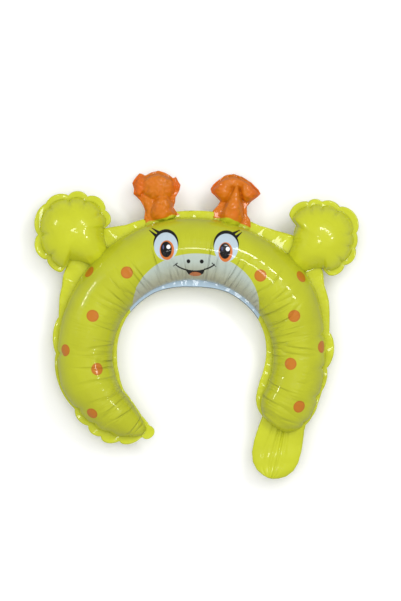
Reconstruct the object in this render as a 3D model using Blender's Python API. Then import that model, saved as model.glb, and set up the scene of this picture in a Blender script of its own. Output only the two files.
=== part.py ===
"""A giraffe foil balloon worn as a headband: two sheets of printed film, sealed flat and filled with air.

It lies on its back with its face up: +Z is out of the face and +Y is the top of the head.
Sizes are in metres, and angles are in degrees from the top of the head, clockwise seen from the front.
"""

import math

import bmesh
import bpy
import numpy as np
from mathutils import Matrix, Vector

# The hoop: an open ring of inflated tube
RING_RADIUS = 0.1145
TUBE_TOP = 0.0335
TUBE_LEFT = 0.0300
TUBE_RIGHT = 0.0285
TUBE_SIDES = 18
TUBE_STEP_DEG = 3.0

# Beside the right ear the hoop is wider, in a low shoulder
SHOULDER = 0.0030
SHOULDER_DEG = 55.0
SHOULDER_SPREAD_DEG = 20.0

# The left leg tapers and curls inwards to a pointed tip
LEG_START_DEG = -105.0
LEG_TIP_DEG = -148.5
LEG_CURL = 0.0190
LEG_TAPER = 0.75
LEG_STATIONS = 12
LEG_CROWDING = 1.6
TIP_TAB_RADIUS = 0.0095
TIP_TAB_SIDES = 20

# The right leg ends in a round end, where the filler tail leaves it
RIGHT_END_DEG = 116.5
END_STATIONS = 8
END_REST = 0.0015

# The sealed seam, as flat film round the outside and the inside of the hoop
SEAM_THICKNESS = 0.0010
SEAM_STEP = 0.0001
OUTER_SEAM = 0.0050
INNER_SEAM = 0.0070
SCALLOP_PITCH = 0.0195
SCALLOP_DEPTH = 0.0040
SCALLOP_BALANCE = 0.6
SCALLOP_FROM_DEG = 92.0
SCALLOP_BLEND_DEG = 12.0
OUTLINE_STEP_DEG = 1.9
TANGENT_STEP_DEG = 0.1

# Folds that run from the seams on to the tube
CREASE_PITCH_DEG = 12.0
CREASE_DEPTH = 0.0007
PUCKER_DEPTH = 0.0011
PUCKER_SHARPNESS = 6

# The ears: round cushions on short necks, with a scalloped seam
EAR_RADIUS = 0.0338
EAR_FULLNESS = 0.599
EAR_PROFILE = 2.4
EAR_SEAM = 0.0066
EAR_SCALLOPS = 12
EAR_SCALLOP_DEPTH = 0.0030
EAR_PUCKER = 0.035
EAR_PUCKER_SHARPNESS = 4
EAR_SEGMENTS = 32
EAR_RINGS = 10
EAR_RIM_SHARE = 0.999
LEFT_EAR_DEG = -43.3
LEFT_EAR_GAP = 0.0025
RIGHT_EAR_DEG = 48.3
RIGHT_EAR_GAP = 0.0085
NECK_HALF_WIDTH = 0.0160
NECK_FULLNESS = 0.80
NECK_SIDES = 14
WEB_AT_HOOP = 0.0520
WEB_AT_EAR = 0.0350
WEB_RISE = 0.0130
WEB_IN_EAR = 0.6

# The horns: flat-topped knobs on narrower necks. Each row is the share of the height,
# the share of the half width and the sideways lean as a share of the half width
HORN_SEAM = 0.0040
HORN_FULLNESS = 0.60
HORN_SIDES = 14
HORN_CRUMPLE = 0.0008
HORN_ROOT = 0.0120
HORN_RUFFLE = 0.0060
HORN_WAVES = ((2.1, 1.3, 0.0), (-0.6, 1.7, 0.0), (3.1, 0.0, -1.0))
LEFT_HORN_X = -0.0365
LEFT_HORN_HEIGHT = 0.0542
LEFT_HORN_HALF_WIDTH = 0.0255
LEFT_HORN_ROWS = (
    (0.00, 0.82, 0.26),
    (0.15, 0.69, 0.22),
    (0.31, 0.59, 0.13),
    (0.43, 0.67, 0.11),
    (0.55, 0.82, 0.00),
    (0.66, 0.94, 0.00),
    (0.78, 1.00, 0.00),
    (0.90, 0.91, 0.00),
    (0.95, 0.74, 0.02),
    (1.00, 0.34, 0.05),
)
RIGHT_HORN_X = 0.0456
RIGHT_HORN_HEIGHT = 0.0536
RIGHT_HORN_HALF_WIDTH = 0.0260
RIGHT_HORN_ROWS = (
    (0.00, 0.72, 0.02),
    (0.22, 0.70, -0.16),
    (0.37, 0.59, -0.09),
    (0.47, 0.63, 0.04),
    (0.56, 0.82, 0.06),
    (0.65, 1.00, 0.04),
    (0.73, 0.98, 0.00),
    (0.80, 0.86, -0.02),
    (0.89, 0.65, 0.00),
    (0.96, 0.35, -0.10),
    (1.00, 0.16, -0.10),
)

# The filler tail: a strap of nearly flat film with a round end
TAIL_LENGTH = 0.0825
TAIL_HALF_WIDTH = 0.0260
TAIL_HALF_THICKNESS = 0.0022
TAIL_SIDES = 12
TAIL_LEAN_DEG = 13.0
TAIL_ROWS = (
    (0.00, 0.70),
    (0.20, 0.92),
    (0.36, 0.95),
    (0.55, 1.00),
    (0.72, 0.98),
    (0.84, 0.86),
    (0.93, 0.62),
    (0.98, 0.33),
)

# The underside gives way a little where the balloon lies on a table
REST_DEPTH = 0.0005
REST_MARGIN = 0.02

# Points closer together than this become one
WELD_DISTANCE = 1e-6

FILM_COLOUR = (0.60, 0.66, 0.02, 1.0)
FILM_ROUGHNESS = 0.22
SHARP_DEG = 40.0


def polar(radius, angle):
    """The point at this distance from the hoop's centre, in the seam's plane."""
    turn = math.radians(angle)
    return Vector((radius * math.sin(turn), radius * math.cos(turn), 0.0))


def shoulder(angle):
    """How far the shoulder beside the right ear widens the tube."""
    return SHOULDER * math.exp(-(((angle - SHOULDER_DEG) / SHOULDER_SPREAD_DEG) ** 2))


def side_radius(angle):
    """The tube's radius before its ends taper."""
    side = TUBE_LEFT if angle < 0 else TUBE_RIGHT
    share = math.sin(math.radians(min(abs(angle), 90.0))) ** 2
    return TUBE_TOP + (side - TUBE_TOP) * share + shoulder(angle)


def hoop_radius(angle):
    """The distance from the hoop's centre to the tube's middle."""
    return RING_RADIUS + shoulder(angle) - LEG_CURL * leg_share(angle)


def leg_share(angle):
    """How far along the left leg's taper an angle is, from 0 to 1 at the tip."""
    return min(max((LEG_START_DEG - angle) / (LEG_START_DEG - LEG_TIP_DEG), 0.0), 1.0)


def end_share(angle):
    """How far into the right leg's round end an angle is, from 0 to 1 at the end."""
    past = math.radians(angle - RIGHT_END_DEG) * RING_RADIUS
    return min(max(past / TUBE_RIGHT, 0.0), 1.0)


def tube_radius(angle):
    """The tube's radius, with the tapered leg and the round end."""
    taper = max(1.0 - leg_share(angle) ** 2, 0.0) ** LEG_TAPER
    dome = math.sqrt(1.0 - end_share(angle) ** 2)
    return max(side_radius(angle) * taper * dome, END_REST)


def axis_point(angle):
    """The tube's middle, which curls inwards along the left leg and swells at the shoulder."""
    return polar(hoop_radius(angle), angle)


def end_angle():
    """The angle at which the round end closes."""
    return RIGHT_END_DEG + math.degrees(TUBE_RIGHT / RING_RADIUS)


def tube_stations():
    """The angles of the tube's sections, closer together where its ends close."""
    leg = [1.0 - (i / LEG_STATIONS) ** LEG_CROWDING for i in range(LEG_STATIONS)]
    angles = [LEG_START_DEG - share * (LEG_START_DEG - LEG_TIP_DEG) for share in leg]
    steps = round((RIGHT_END_DEG - LEG_START_DEG) / TUBE_STEP_DEG)
    angles += list(np.linspace(LEG_START_DEG, RIGHT_END_DEG, steps + 1))
    for i in range(1, END_STATIONS + 1):
        share = math.sin(0.5 * math.pi * i / END_STATIONS)
        angles.append(RIGHT_END_DEG + share * (end_angle() - RIGHT_END_DEG))
    return angles


def new_object(name, mesh, home):
    """An object of this mesh or curve, in a collection."""
    thing = bpy.data.objects.new(name, mesh)
    home.objects.link(thing)
    return thing


def mesh_of_curve(curve_object, home):
    """A closed mesh of a curve object, which it replaces."""
    bpy.context.view_layer.update()
    graph = bpy.context.evaluated_depsgraph_get()
    mesh = bpy.data.meshes.new_from_object(curve_object.evaluated_get(graph))
    body = bmesh.new()
    body.from_mesh(mesh)
    bmesh.ops.remove_doubles(body, verts=body.verts, dist=WELD_DISTANCE)
    body.to_mesh(mesh)
    body.free()
    solid = new_object(curve_object.name + "_solid", mesh, home)
    solid.matrix_world = curve_object.matrix_world.copy()
    bpy.data.objects.remove(curve_object)
    return solid


def film_tube(name, points, radii, sides, home):
    """A closed tube through these points, with a radius at each."""
    curve = bpy.data.curves.new(name, "CURVE")
    curve.dimensions = "3D"
    curve.twist_mode = "Z_UP"
    curve.bevel_depth = 1.0
    curve.bevel_resolution = (sides - 4) // 2
    curve.use_fill_caps = True
    spline = curve.splines.new("POLY")
    spline.points.add(len(points) - 1)
    for point, place, radius in zip(spline.points, points, radii):
        point.co = (*place, 1.0)
        point.radius = radius
    return mesh_of_curve(new_object(name, curve, home), home)


def flat_panel(name, outline, thickness, home):
    """A flat sheet of film, cut to a closed outline in the seam's plane."""
    curve = bpy.data.curves.new(name, "CURVE")
    curve.dimensions = "2D"
    curve.fill_mode = "BOTH"
    curve.extrude = 0.5 * thickness
    spline = curve.splines.new("POLY")
    spline.points.add(len(outline) - 1)
    for point, place in zip(spline.points, outline):
        point.co = (place[0], place[1], 0.0, 1.0)
    spline.use_cyclic_u = True
    return mesh_of_curve(new_object(name, curve, home), home)


def crease(angle, pitch):
    """A fold's depth along the hoop: 1 in each narrow valley, 0 between them."""
    return max(math.cos(2.0 * math.pi * angle / pitch), 0.0) ** 2


def fold_tube(tube):
    """Draws the film in at the folds that run from both seams on to the tube."""
    scallop_deg = math.degrees(SCALLOP_PITCH / (RING_RADIUS + TUBE_LEFT))
    for vertex in tube.data.vertices:
        angle = math.degrees(math.atan2(vertex.co.x, vertex.co.y))
        middle = axis_point(angle)
        radial = math.hypot(vertex.co.x, vertex.co.y) - middle.length
        size = math.hypot(radial, vertex.co.z)
        if size < CREASE_DEPTH + PUCKER_DEPTH + END_REST:
            continue
        inward = max(-radial / size, 0.0)
        outward = max(radial / size, 0.0)
        depth = CREASE_DEPTH * inward * crease(angle, CREASE_PITCH_DEG)
        depth += PUCKER_DEPTH * outward**PUCKER_SHARPNESS * crease(angle, scallop_deg) * scallop_share(angle)
        pull = depth / size
        way = Vector((vertex.co.x, vertex.co.y, 0.0)).normalized()
        vertex.co -= pull * (radial * way + Vector((0.0, 0.0, vertex.co.z)))


def scallop_share(angle):
    """The scallops grow from nothing beside the face to full size on both legs."""
    return min(max((abs(angle) - SCALLOP_FROM_DEG) / SCALLOP_BLEND_DEG, 0.0), 1.0)


def hoop_tube(home):
    """The inflated tube of the hoop, from the left leg's tip to the round end."""
    angles = tube_stations()
    points = [axis_point(angle) for angle in angles]
    radii = [tube_radius(angle) for angle in angles]
    tube = film_tube("hoop", points, radii, TUBE_SIDES, home)
    fold_tube(tube)
    return tube


def seam_edge(angle, side):
    """A point on the seam's cut edge: side is 1 outside the hoop and -1 inside."""
    scallop_deg = math.degrees(SCALLOP_PITCH / (RING_RADIUS + TUBE_LEFT))
    lobe = 1.0 - crease(angle, scallop_deg)
    width = INNER_SEAM
    if side > 0:
        width = OUTER_SEAM + SCALLOP_DEPTH * scallop_share(angle) * (lobe - SCALLOP_BALANCE)
    middle = axis_point(angle)
    ahead = axis_point(angle + TANGENT_STEP_DEG) - axis_point(angle - TANGENT_STEP_DEG)
    across = Vector((-ahead.y, ahead.x, 0.0)).normalized()
    return middle + side * (tube_radius(angle) + width) * across


def hoop_seam(home):
    """The flat seam round the hoop, in one sheet with both cut edges."""
    span = end_angle() - LEG_TIP_DEG
    angles = np.linspace(LEG_TIP_DEG, end_angle(), round(span / OUTLINE_STEP_DEG) + 1)
    outer = [seam_edge(float(angle), 1) for angle in angles]
    inner = [seam_edge(float(angle), -1) for angle in angles[::-2]]
    return flat_panel("hoop_seam", outer + inner, SEAM_THICKNESS, home)


def disc_outline(centre, radius, depth, lobes, steps):
    """A round outline with lobes, which leaves it plain where depth is 0."""
    points = []
    for i in range(steps):
        turn = 2.0 * math.pi * i / steps
        reach = radius + depth * (SCALLOP_BALANCE - crease(lobes * turn / (2.0 * math.pi), 1.0))
        points.append(centre + Vector((reach * math.cos(turn), reach * math.sin(turn), 0.0)))
    return points


def tip_tab(home):
    """The small round end of the seam at the left leg's tip."""
    tip = axis_point(LEG_TIP_DEG)
    outline = disc_outline(tip, TIP_TAB_RADIUS, 0.0, 1, TIP_TAB_SIDES)
    return flat_panel("tip_tab", outline, SEAM_THICKNESS + SEAM_STEP, home)


def ear_centre(angle, gap):
    """The middle of an ear, with a gap between its cushion and the hoop's tube."""
    return polar(RING_RADIUS + side_radius(angle) - shoulder(angle) + gap + EAR_RADIUS, angle)


def ear_cushion(name, centre, home):
    """A round cushion with the profile that flat discs of film take when filled."""
    body = bmesh.new()
    bmesh.ops.create_uvsphere(body, u_segments=EAR_SEGMENTS, v_segments=EAR_RINGS, radius=1.0)
    for vertex in body.verts:
        reach = min(math.hypot(vertex.co.x, vertex.co.y), 1.0)
        turn = math.atan2(vertex.co.y, vertex.co.x)
        height = max(1.0 - reach**EAR_PROFILE, 0.0) ** (1.0 / EAR_PROFILE)
        pucker = EAR_PUCKER * reach**EAR_PUCKER_SHARPNESS
        fold = 1.0 - pucker * crease(EAR_SCALLOPS * turn / (2.0 * math.pi), 1.0)
        vertex.co.x *= EAR_RADIUS * fold
        vertex.co.y *= EAR_RADIUS * fold
        vertex.co.z = math.copysign(height, vertex.co.z) * EAR_FULLNESS * EAR_RADIUS * fold
        if reach > EAR_RIM_SHARE:
            vertex.co.z = 0.0
    body.transform(Matrix.Translation(centre))
    mesh = bpy.data.meshes.new(name)
    body.to_mesh(mesh)
    body.free()
    return new_object(name, mesh, home)


def ear_web(name, angle, centre, home):
    """The seam that fills the corners between an ear and the hoop."""
    out = polar(1.0, angle)
    along = Vector((out.y, -out.x, 0.0))
    edge = RING_RADIUS + side_radius(angle) * math.cos(WEB_AT_HOOP / RING_RADIUS)
    half = EAR_RADIUS * WEB_IN_EAR
    rows = (
        (RING_RADIUS, WEB_AT_HOOP),
        (edge, WEB_AT_HOOP),
        (edge + WEB_RISE, WEB_AT_EAR),
        (centre.length, half),
    )
    left = [out * reach - along * across for reach, across in rows]
    right = [out * reach + along * across for reach, across in reversed(rows)]
    return flat_panel(name, left + right, SEAM_THICKNESS + 3 * SEAM_STEP, home)


def ear(name, angle, gap, home):
    """The parts of one ear, at this angle round the hoop."""
    centre = ear_centre(angle, gap)
    root = polar(RING_RADIUS, angle)
    cushion = ear_cushion(name, centre, home)
    neck = film_tube(name + "_neck", (root, centre), (NECK_HALF_WIDTH,) * 2, NECK_SIDES, home)
    squash(neck, NECK_FULLNESS)
    seam = EAR_RADIUS + EAR_SEAM
    outline = disc_outline(centre, seam, EAR_SCALLOP_DEPTH, EAR_SCALLOPS, EAR_SCALLOPS * 4)
    flange = flat_panel(name + "_seam", outline, SEAM_THICKNESS + 2 * SEAM_STEP, home)
    return [cushion, neck, flange, ear_web(name + "_web", angle, centre, home)]


def squash(solid, share):
    """Flattens a tube towards the seam's plane, as film that is only part filled."""
    for vertex in solid.data.vertices:
        vertex.co.z *= share


def crumple(solid, depth):
    """Dents a short-necked horn, whose film folds where it changes width."""
    broad, cross, fine = (Vector(wave) / HORN_RUFFLE for wave in HORN_WAVES)
    for vertex in solid.data.vertices:
        place = vertex.co
        wave = math.sin(broad.dot(place)) * math.cos(cross.dot(place)) + 0.5 * math.sin(fine.dot(place))
        vertex.co.z += math.copysign(depth * wave, place.z)


def horn_places(rows, x, base, height, half_width, inset):
    """The middle and the half width of each row of a horn, drawn in from its cut edge."""
    places = []
    for share, width, lean in rows:
        middle = Vector((x + lean * half_width, base + share * (height - inset), 0.0))
        places.append((middle, width * half_width - inset * width))
    root = places[0][0] - Vector((0.0, HORN_ROOT, 0.0))
    return [(root, places[0][1])] + places


def horn(name, x, height, half_width, rows, home):
    """A horn that stands straight up from the hoop's outer edge."""
    crown = RING_RADIUS + TUBE_TOP
    base = math.sqrt(crown**2 - x**2)
    cut = horn_places(rows, x, base, height, half_width, 0.0)
    left = [middle - Vector((half, 0.0, 0.0)) for middle, half in cut]
    right = [middle + Vector((half, 0.0, 0.0)) for middle, half in cut]
    sheet = flat_panel(name + "_seam", left + right[::-1], SEAM_THICKNESS + 4 * SEAM_STEP, home)
    filled = horn_places(rows, x, base, height, half_width, HORN_SEAM)
    points = [middle for middle, _ in filled]
    radii = [half for _, half in filled]
    knob = film_tube(name, points, radii, HORN_SIDES, home)
    squash(knob, HORN_FULLNESS)
    crumple(knob, HORN_CRUMPLE)
    return [knob, sheet]


def filler_tail(home):
    """The strap that the balloon is filled through, which hangs from the round end."""
    root = axis_point(RIGHT_END_DEG)
    lean = math.radians(TAIL_LEAN_DEG)
    way = Vector((-math.sin(lean), -math.cos(lean), 0.0))
    points = [root + way * (share * TAIL_LENGTH) for share, _ in TAIL_ROWS]
    radii = [width * TAIL_HALF_WIDTH for _, width in TAIL_ROWS]
    strap = film_tube("tail", points, radii, TAIL_SIDES, home)
    squash(strap, TAIL_HALF_THICKNESS / TAIL_HALF_WIDTH)
    return [strap]


def join(target, others):
    """Unites the other solids with the target, which takes their place."""
    for other in others:
        union = target.modifiers.new(other.name, "BOOLEAN")
        union.operation = "UNION"
        union.solver = "EXACT"
        union.object = other


def settle(mesh):
    """Lets the film lie along the table, where the thinner legs come down to it."""
    for vertex in mesh.vertices:
        angle = math.degrees(math.atan2(vertex.co.x, vertex.co.y))
        vertex.co.z += side_radius(angle) - TUBE_TOP


def bake(solid):
    """Replaces a solid's mesh with the one that its modifiers give."""
    bpy.context.view_layer.update()
    graph = bpy.context.evaluated_depsgraph_get()
    mesh = bpy.data.meshes.new_from_object(solid.evaluated_get(graph))
    solid.modifiers.clear()
    solid.data = mesh
    return mesh


def rest_on_table(solid, guides):
    """Cuts the underside flat where it touches the table, and puts the origin under the middle."""
    corners = np.array([vertex.co for vertex in solid.data.vertices])
    low, high = corners.min(axis=0), corners.max(axis=0)
    size = high - low + 2 * REST_MARGIN
    body = bmesh.new()
    bmesh.ops.create_cube(body, size=1.0)
    body.transform(Matrix.Diagonal((size[0], size[1], REST_MARGIN, 1.0)))
    centre = (*(0.5 * (low + high))[:2], low[2] + REST_DEPTH - 0.5 * REST_MARGIN)
    body.transform(Matrix.Translation(centre))
    mesh = bpy.data.meshes.new("table")
    body.to_mesh(mesh)
    body.free()
    table = new_object("table", mesh, guides)
    cut = solid.modifiers.new("table", "BOOLEAN")
    cut.operation = "DIFFERENCE"
    cut.solver = "EXACT"
    cut.object = table
    bake(solid).transform(Matrix.Translation((-centre[0], -centre[1], -low[2] - REST_DEPTH)))
    bpy.data.objects.remove(table)


def printed_film():
    """The glossy film in the colour that covers most of the balloon."""
    material = bpy.data.materials.new("printed_film")
    material.use_nodes = True
    shader = material.node_tree.nodes["Principled BSDF"]
    shader.inputs["Base Color"].default_value = FILM_COLOUR
    shader.inputs["Roughness"].default_value = FILM_ROUGHNESS
    shader.inputs["Metallic"].default_value = 0.0
    return material


def new_collection(name):
    """An empty collection in the scene."""
    home = bpy.data.collections.new(name)
    bpy.context.scene.collection.children.link(home)
    return home


def main():
    """Builds the balloon from its parts, as one closed solid that lies on the table."""
    for thing in list(bpy.data.objects):
        bpy.data.objects.remove(thing)
    home = new_collection("giraffe_balloon")
    guides = new_collection("guides")
    balloon = hoop_tube(home)
    others = [hoop_seam(guides), tip_tab(guides)]
    others += ear("left_ear", LEFT_EAR_DEG, LEFT_EAR_GAP, guides)
    others += ear("right_ear", RIGHT_EAR_DEG, RIGHT_EAR_GAP, guides)
    left = (LEFT_HORN_X, LEFT_HORN_HEIGHT, LEFT_HORN_HALF_WIDTH, LEFT_HORN_ROWS)
    right = (RIGHT_HORN_X, RIGHT_HORN_HEIGHT, RIGHT_HORN_HALF_WIDTH, RIGHT_HORN_ROWS)
    others += horn("left_horn", *left, guides)
    others += horn("right_horn", *right, guides)
    others += filler_tail(guides)
    join(balloon, others)
    settle(bake(balloon))
    for other in others:
        bpy.data.objects.remove(other)
    rest_on_table(balloon, guides)
    balloon.name = "balloon"
    balloon.data.name = "balloon"
    balloon.data.materials.clear()
    balloon.data.materials.append(printed_film())
    balloon.data.shade_smooth()
    balloon.data.set_sharp_from_angle(angle=math.radians(SHARP_DEG))


main()
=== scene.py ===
"""The giraffe foil balloon as it looks: printed film, filled with air, lying face up on a pale floor.

Places on the balloon are measured from the middle of its hoop, with +Y to the top of the head,
and angles are in degrees from the top of the head, clockwise seen from the front.
"""

import logging
import math
from collections.abc import Callable, Sequence
from dataclasses import dataclass, field
from enum import Enum

import bmesh
import bpy
import numpy as np
from mathutils import Matrix, Vector


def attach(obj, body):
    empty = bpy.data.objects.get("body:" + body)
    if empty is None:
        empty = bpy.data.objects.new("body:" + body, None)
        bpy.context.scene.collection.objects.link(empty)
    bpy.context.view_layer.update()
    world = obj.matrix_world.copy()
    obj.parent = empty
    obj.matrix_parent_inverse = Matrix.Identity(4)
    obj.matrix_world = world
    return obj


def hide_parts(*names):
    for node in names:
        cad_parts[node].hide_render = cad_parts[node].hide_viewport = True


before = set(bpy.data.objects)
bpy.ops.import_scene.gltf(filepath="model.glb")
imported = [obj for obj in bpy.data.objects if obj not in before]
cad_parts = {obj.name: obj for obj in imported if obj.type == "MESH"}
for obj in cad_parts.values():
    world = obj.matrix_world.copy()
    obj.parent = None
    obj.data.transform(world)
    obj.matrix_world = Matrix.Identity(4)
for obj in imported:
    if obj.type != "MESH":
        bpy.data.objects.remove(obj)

log = logging.getLogger("giraffe_balloon")

MM = 0.001
BODY = "root"
NODE = "balloon"

HOOP_CENTRE = np.array([-0.00737, -0.03292])
REST_DEPTH = 0.0005
SEAM_FILM = 0.0004
MERGE = 1e-6
ON_SEAM = 1e-4
SCALLOP_POWER = 0.6


class Hand(Enum):
    """A side of the head, as seen from the front."""

    LEFT = -1
    RIGHT = 1


# Shapes that pieces share


def ease(value: np.ndarray) -> np.ndarray:
    """A smooth step from 0 to 1.

    Args:
        value: Numbers, of which those below 0 give 0 and those above 1 give 1.

    Returns:
        The eased numbers.
    """
    share = np.clip(value, 0.0, 1.0)
    return share * share * (3.0 - 2.0 * share)


def unit(vectors: np.ndarray) -> np.ndarray:
    """Vectors of length 1 along the given ones."""
    return vectors / np.maximum(np.linalg.norm(vectors, axis=-1, keepdims=True), 1e-12)


def between(values: np.ndarray, table: Sequence[tuple[float, float]]) -> np.ndarray:
    """Reads a table of (place, value) pairs at these places, in straight runs between its rows."""
    places, heights = zip(*table)
    return np.interp(values, places, heights)


def scallop(place: np.ndarray, start: float, end: float, height: float) -> np.ndarray:
    """How far one scallop of a seam stands out.

    Args:
        place: Places along the seam, in degrees.
        start: Where the scallop starts, in degrees.
        end: Where it ends, in degrees.
        height: Its height, in millimetres.

    Returns:
        The height at each place in metres, which is next to nothing outside the scallop.
    """
    share = np.clip((place - start) / (end - start), 0.0, 1.0)
    return height * MM * np.sin(math.pi * share) ** SCALLOP_POWER


@dataclass(frozen=True)
class HoopLine:
    """The hoop's run and its thickness, which every piece on the hoop is placed by."""

    radius: float = 0.1145
    tube_top: float = 0.0335
    tube_left: float = 0.0300
    tube_right: float = 0.0285
    shoulder_rise: float = 0.0030
    shoulder_deg: float = 55.0
    shoulder_spread_deg: float = 20.0
    leg_start_deg: float = -105.0
    leg_tip_deg: float = -148.5
    leg_curl: float = 0.0190
    leg_taper: float = 0.75
    leg_soft: float = 0.012
    right_end_deg: float = 116.5
    thinnest: float = 0.0015

    @property
    def end_deg(self) -> float:
        """The angle at which the right leg's round end closes."""
        return self.right_end_deg + math.degrees(self.tube_right / self.radius)

    def shoulder(self, angle: np.ndarray) -> np.ndarray:
        """How far the hoop widens beside the right ear."""
        away = (angle - self.shoulder_deg) / self.shoulder_spread_deg
        return self.shoulder_rise * np.exp(-(away**2))

    def side_radius(self, angle: np.ndarray) -> np.ndarray:
        """The tube's radius before its ends taper.

        Args:
            angle: Degrees from the top of the head.

        Returns:
            The radius at each angle, in metres.
        """
        side = np.where(angle < 0.0, self.tube_left, self.tube_right)
        share = np.sin(np.radians(np.minimum(np.abs(angle), 90.0))) ** 2
        return self.tube_top + (side - self.tube_top) * share + self.shoulder(angle)

    def leg_share(self, angle: np.ndarray) -> np.ndarray:
        """How far along the left leg's taper an angle is, from 0 to 1 at the tip, with a soft start."""
        share = (self.leg_start_deg - angle) / (self.leg_start_deg - self.leg_tip_deg)
        return np.clip(0.5 * (share + np.sqrt(share**2 + self.leg_soft)), 0.0, 1.0)

    def middle_radius(self, angle: np.ndarray) -> np.ndarray:
        """The distance from the hoop's centre to the tube's middle."""
        return self.radius + self.shoulder(angle) - self.leg_curl * self.leg_share(angle)

    def tube_radius(self, angle: np.ndarray) -> np.ndarray:
        """The tube's radius, with the pointed leg and the round end.

        Args:
            angle: Degrees from the top of the head.

        Returns:
            The radius at each angle, in metres.
        """
        past = np.radians(angle - self.right_end_deg) * self.radius / self.tube_right
        dome = np.sqrt(1.0 - np.clip(past, 0.0, 1.0) ** 2)
        taper = np.maximum(1.0 - self.leg_share(angle) ** 2, 0.0) ** self.leg_taper
        return np.maximum(self.side_radius(angle) * taper * dome, self.thinnest)

    def seam_height(self, angle: np.ndarray) -> np.ndarray:
        """The height of the seam above the table."""
        return self.side_radius(angle) - REST_DEPTH

    def place(self, angle: np.ndarray, reach: np.ndarray, lift: np.ndarray) -> np.ndarray:
        """A point of the balloon in the frame's own axes.

        Args:
            angle: Degrees from the top of the head.
            reach: Distance from the hoop's centre.
            lift: Height above the seam.

        Returns:
            The points, one row each.
        """
        turn = np.radians(angle)
        x = reach * np.sin(turn) + HOOP_CENTRE[0]
        y = reach * np.cos(turn) + HOOP_CENTRE[1]
        return np.stack([x, y, lift + self.seam_height(angle)], axis=-1)


LINE = HoopLine()


# Film that air fills


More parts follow.
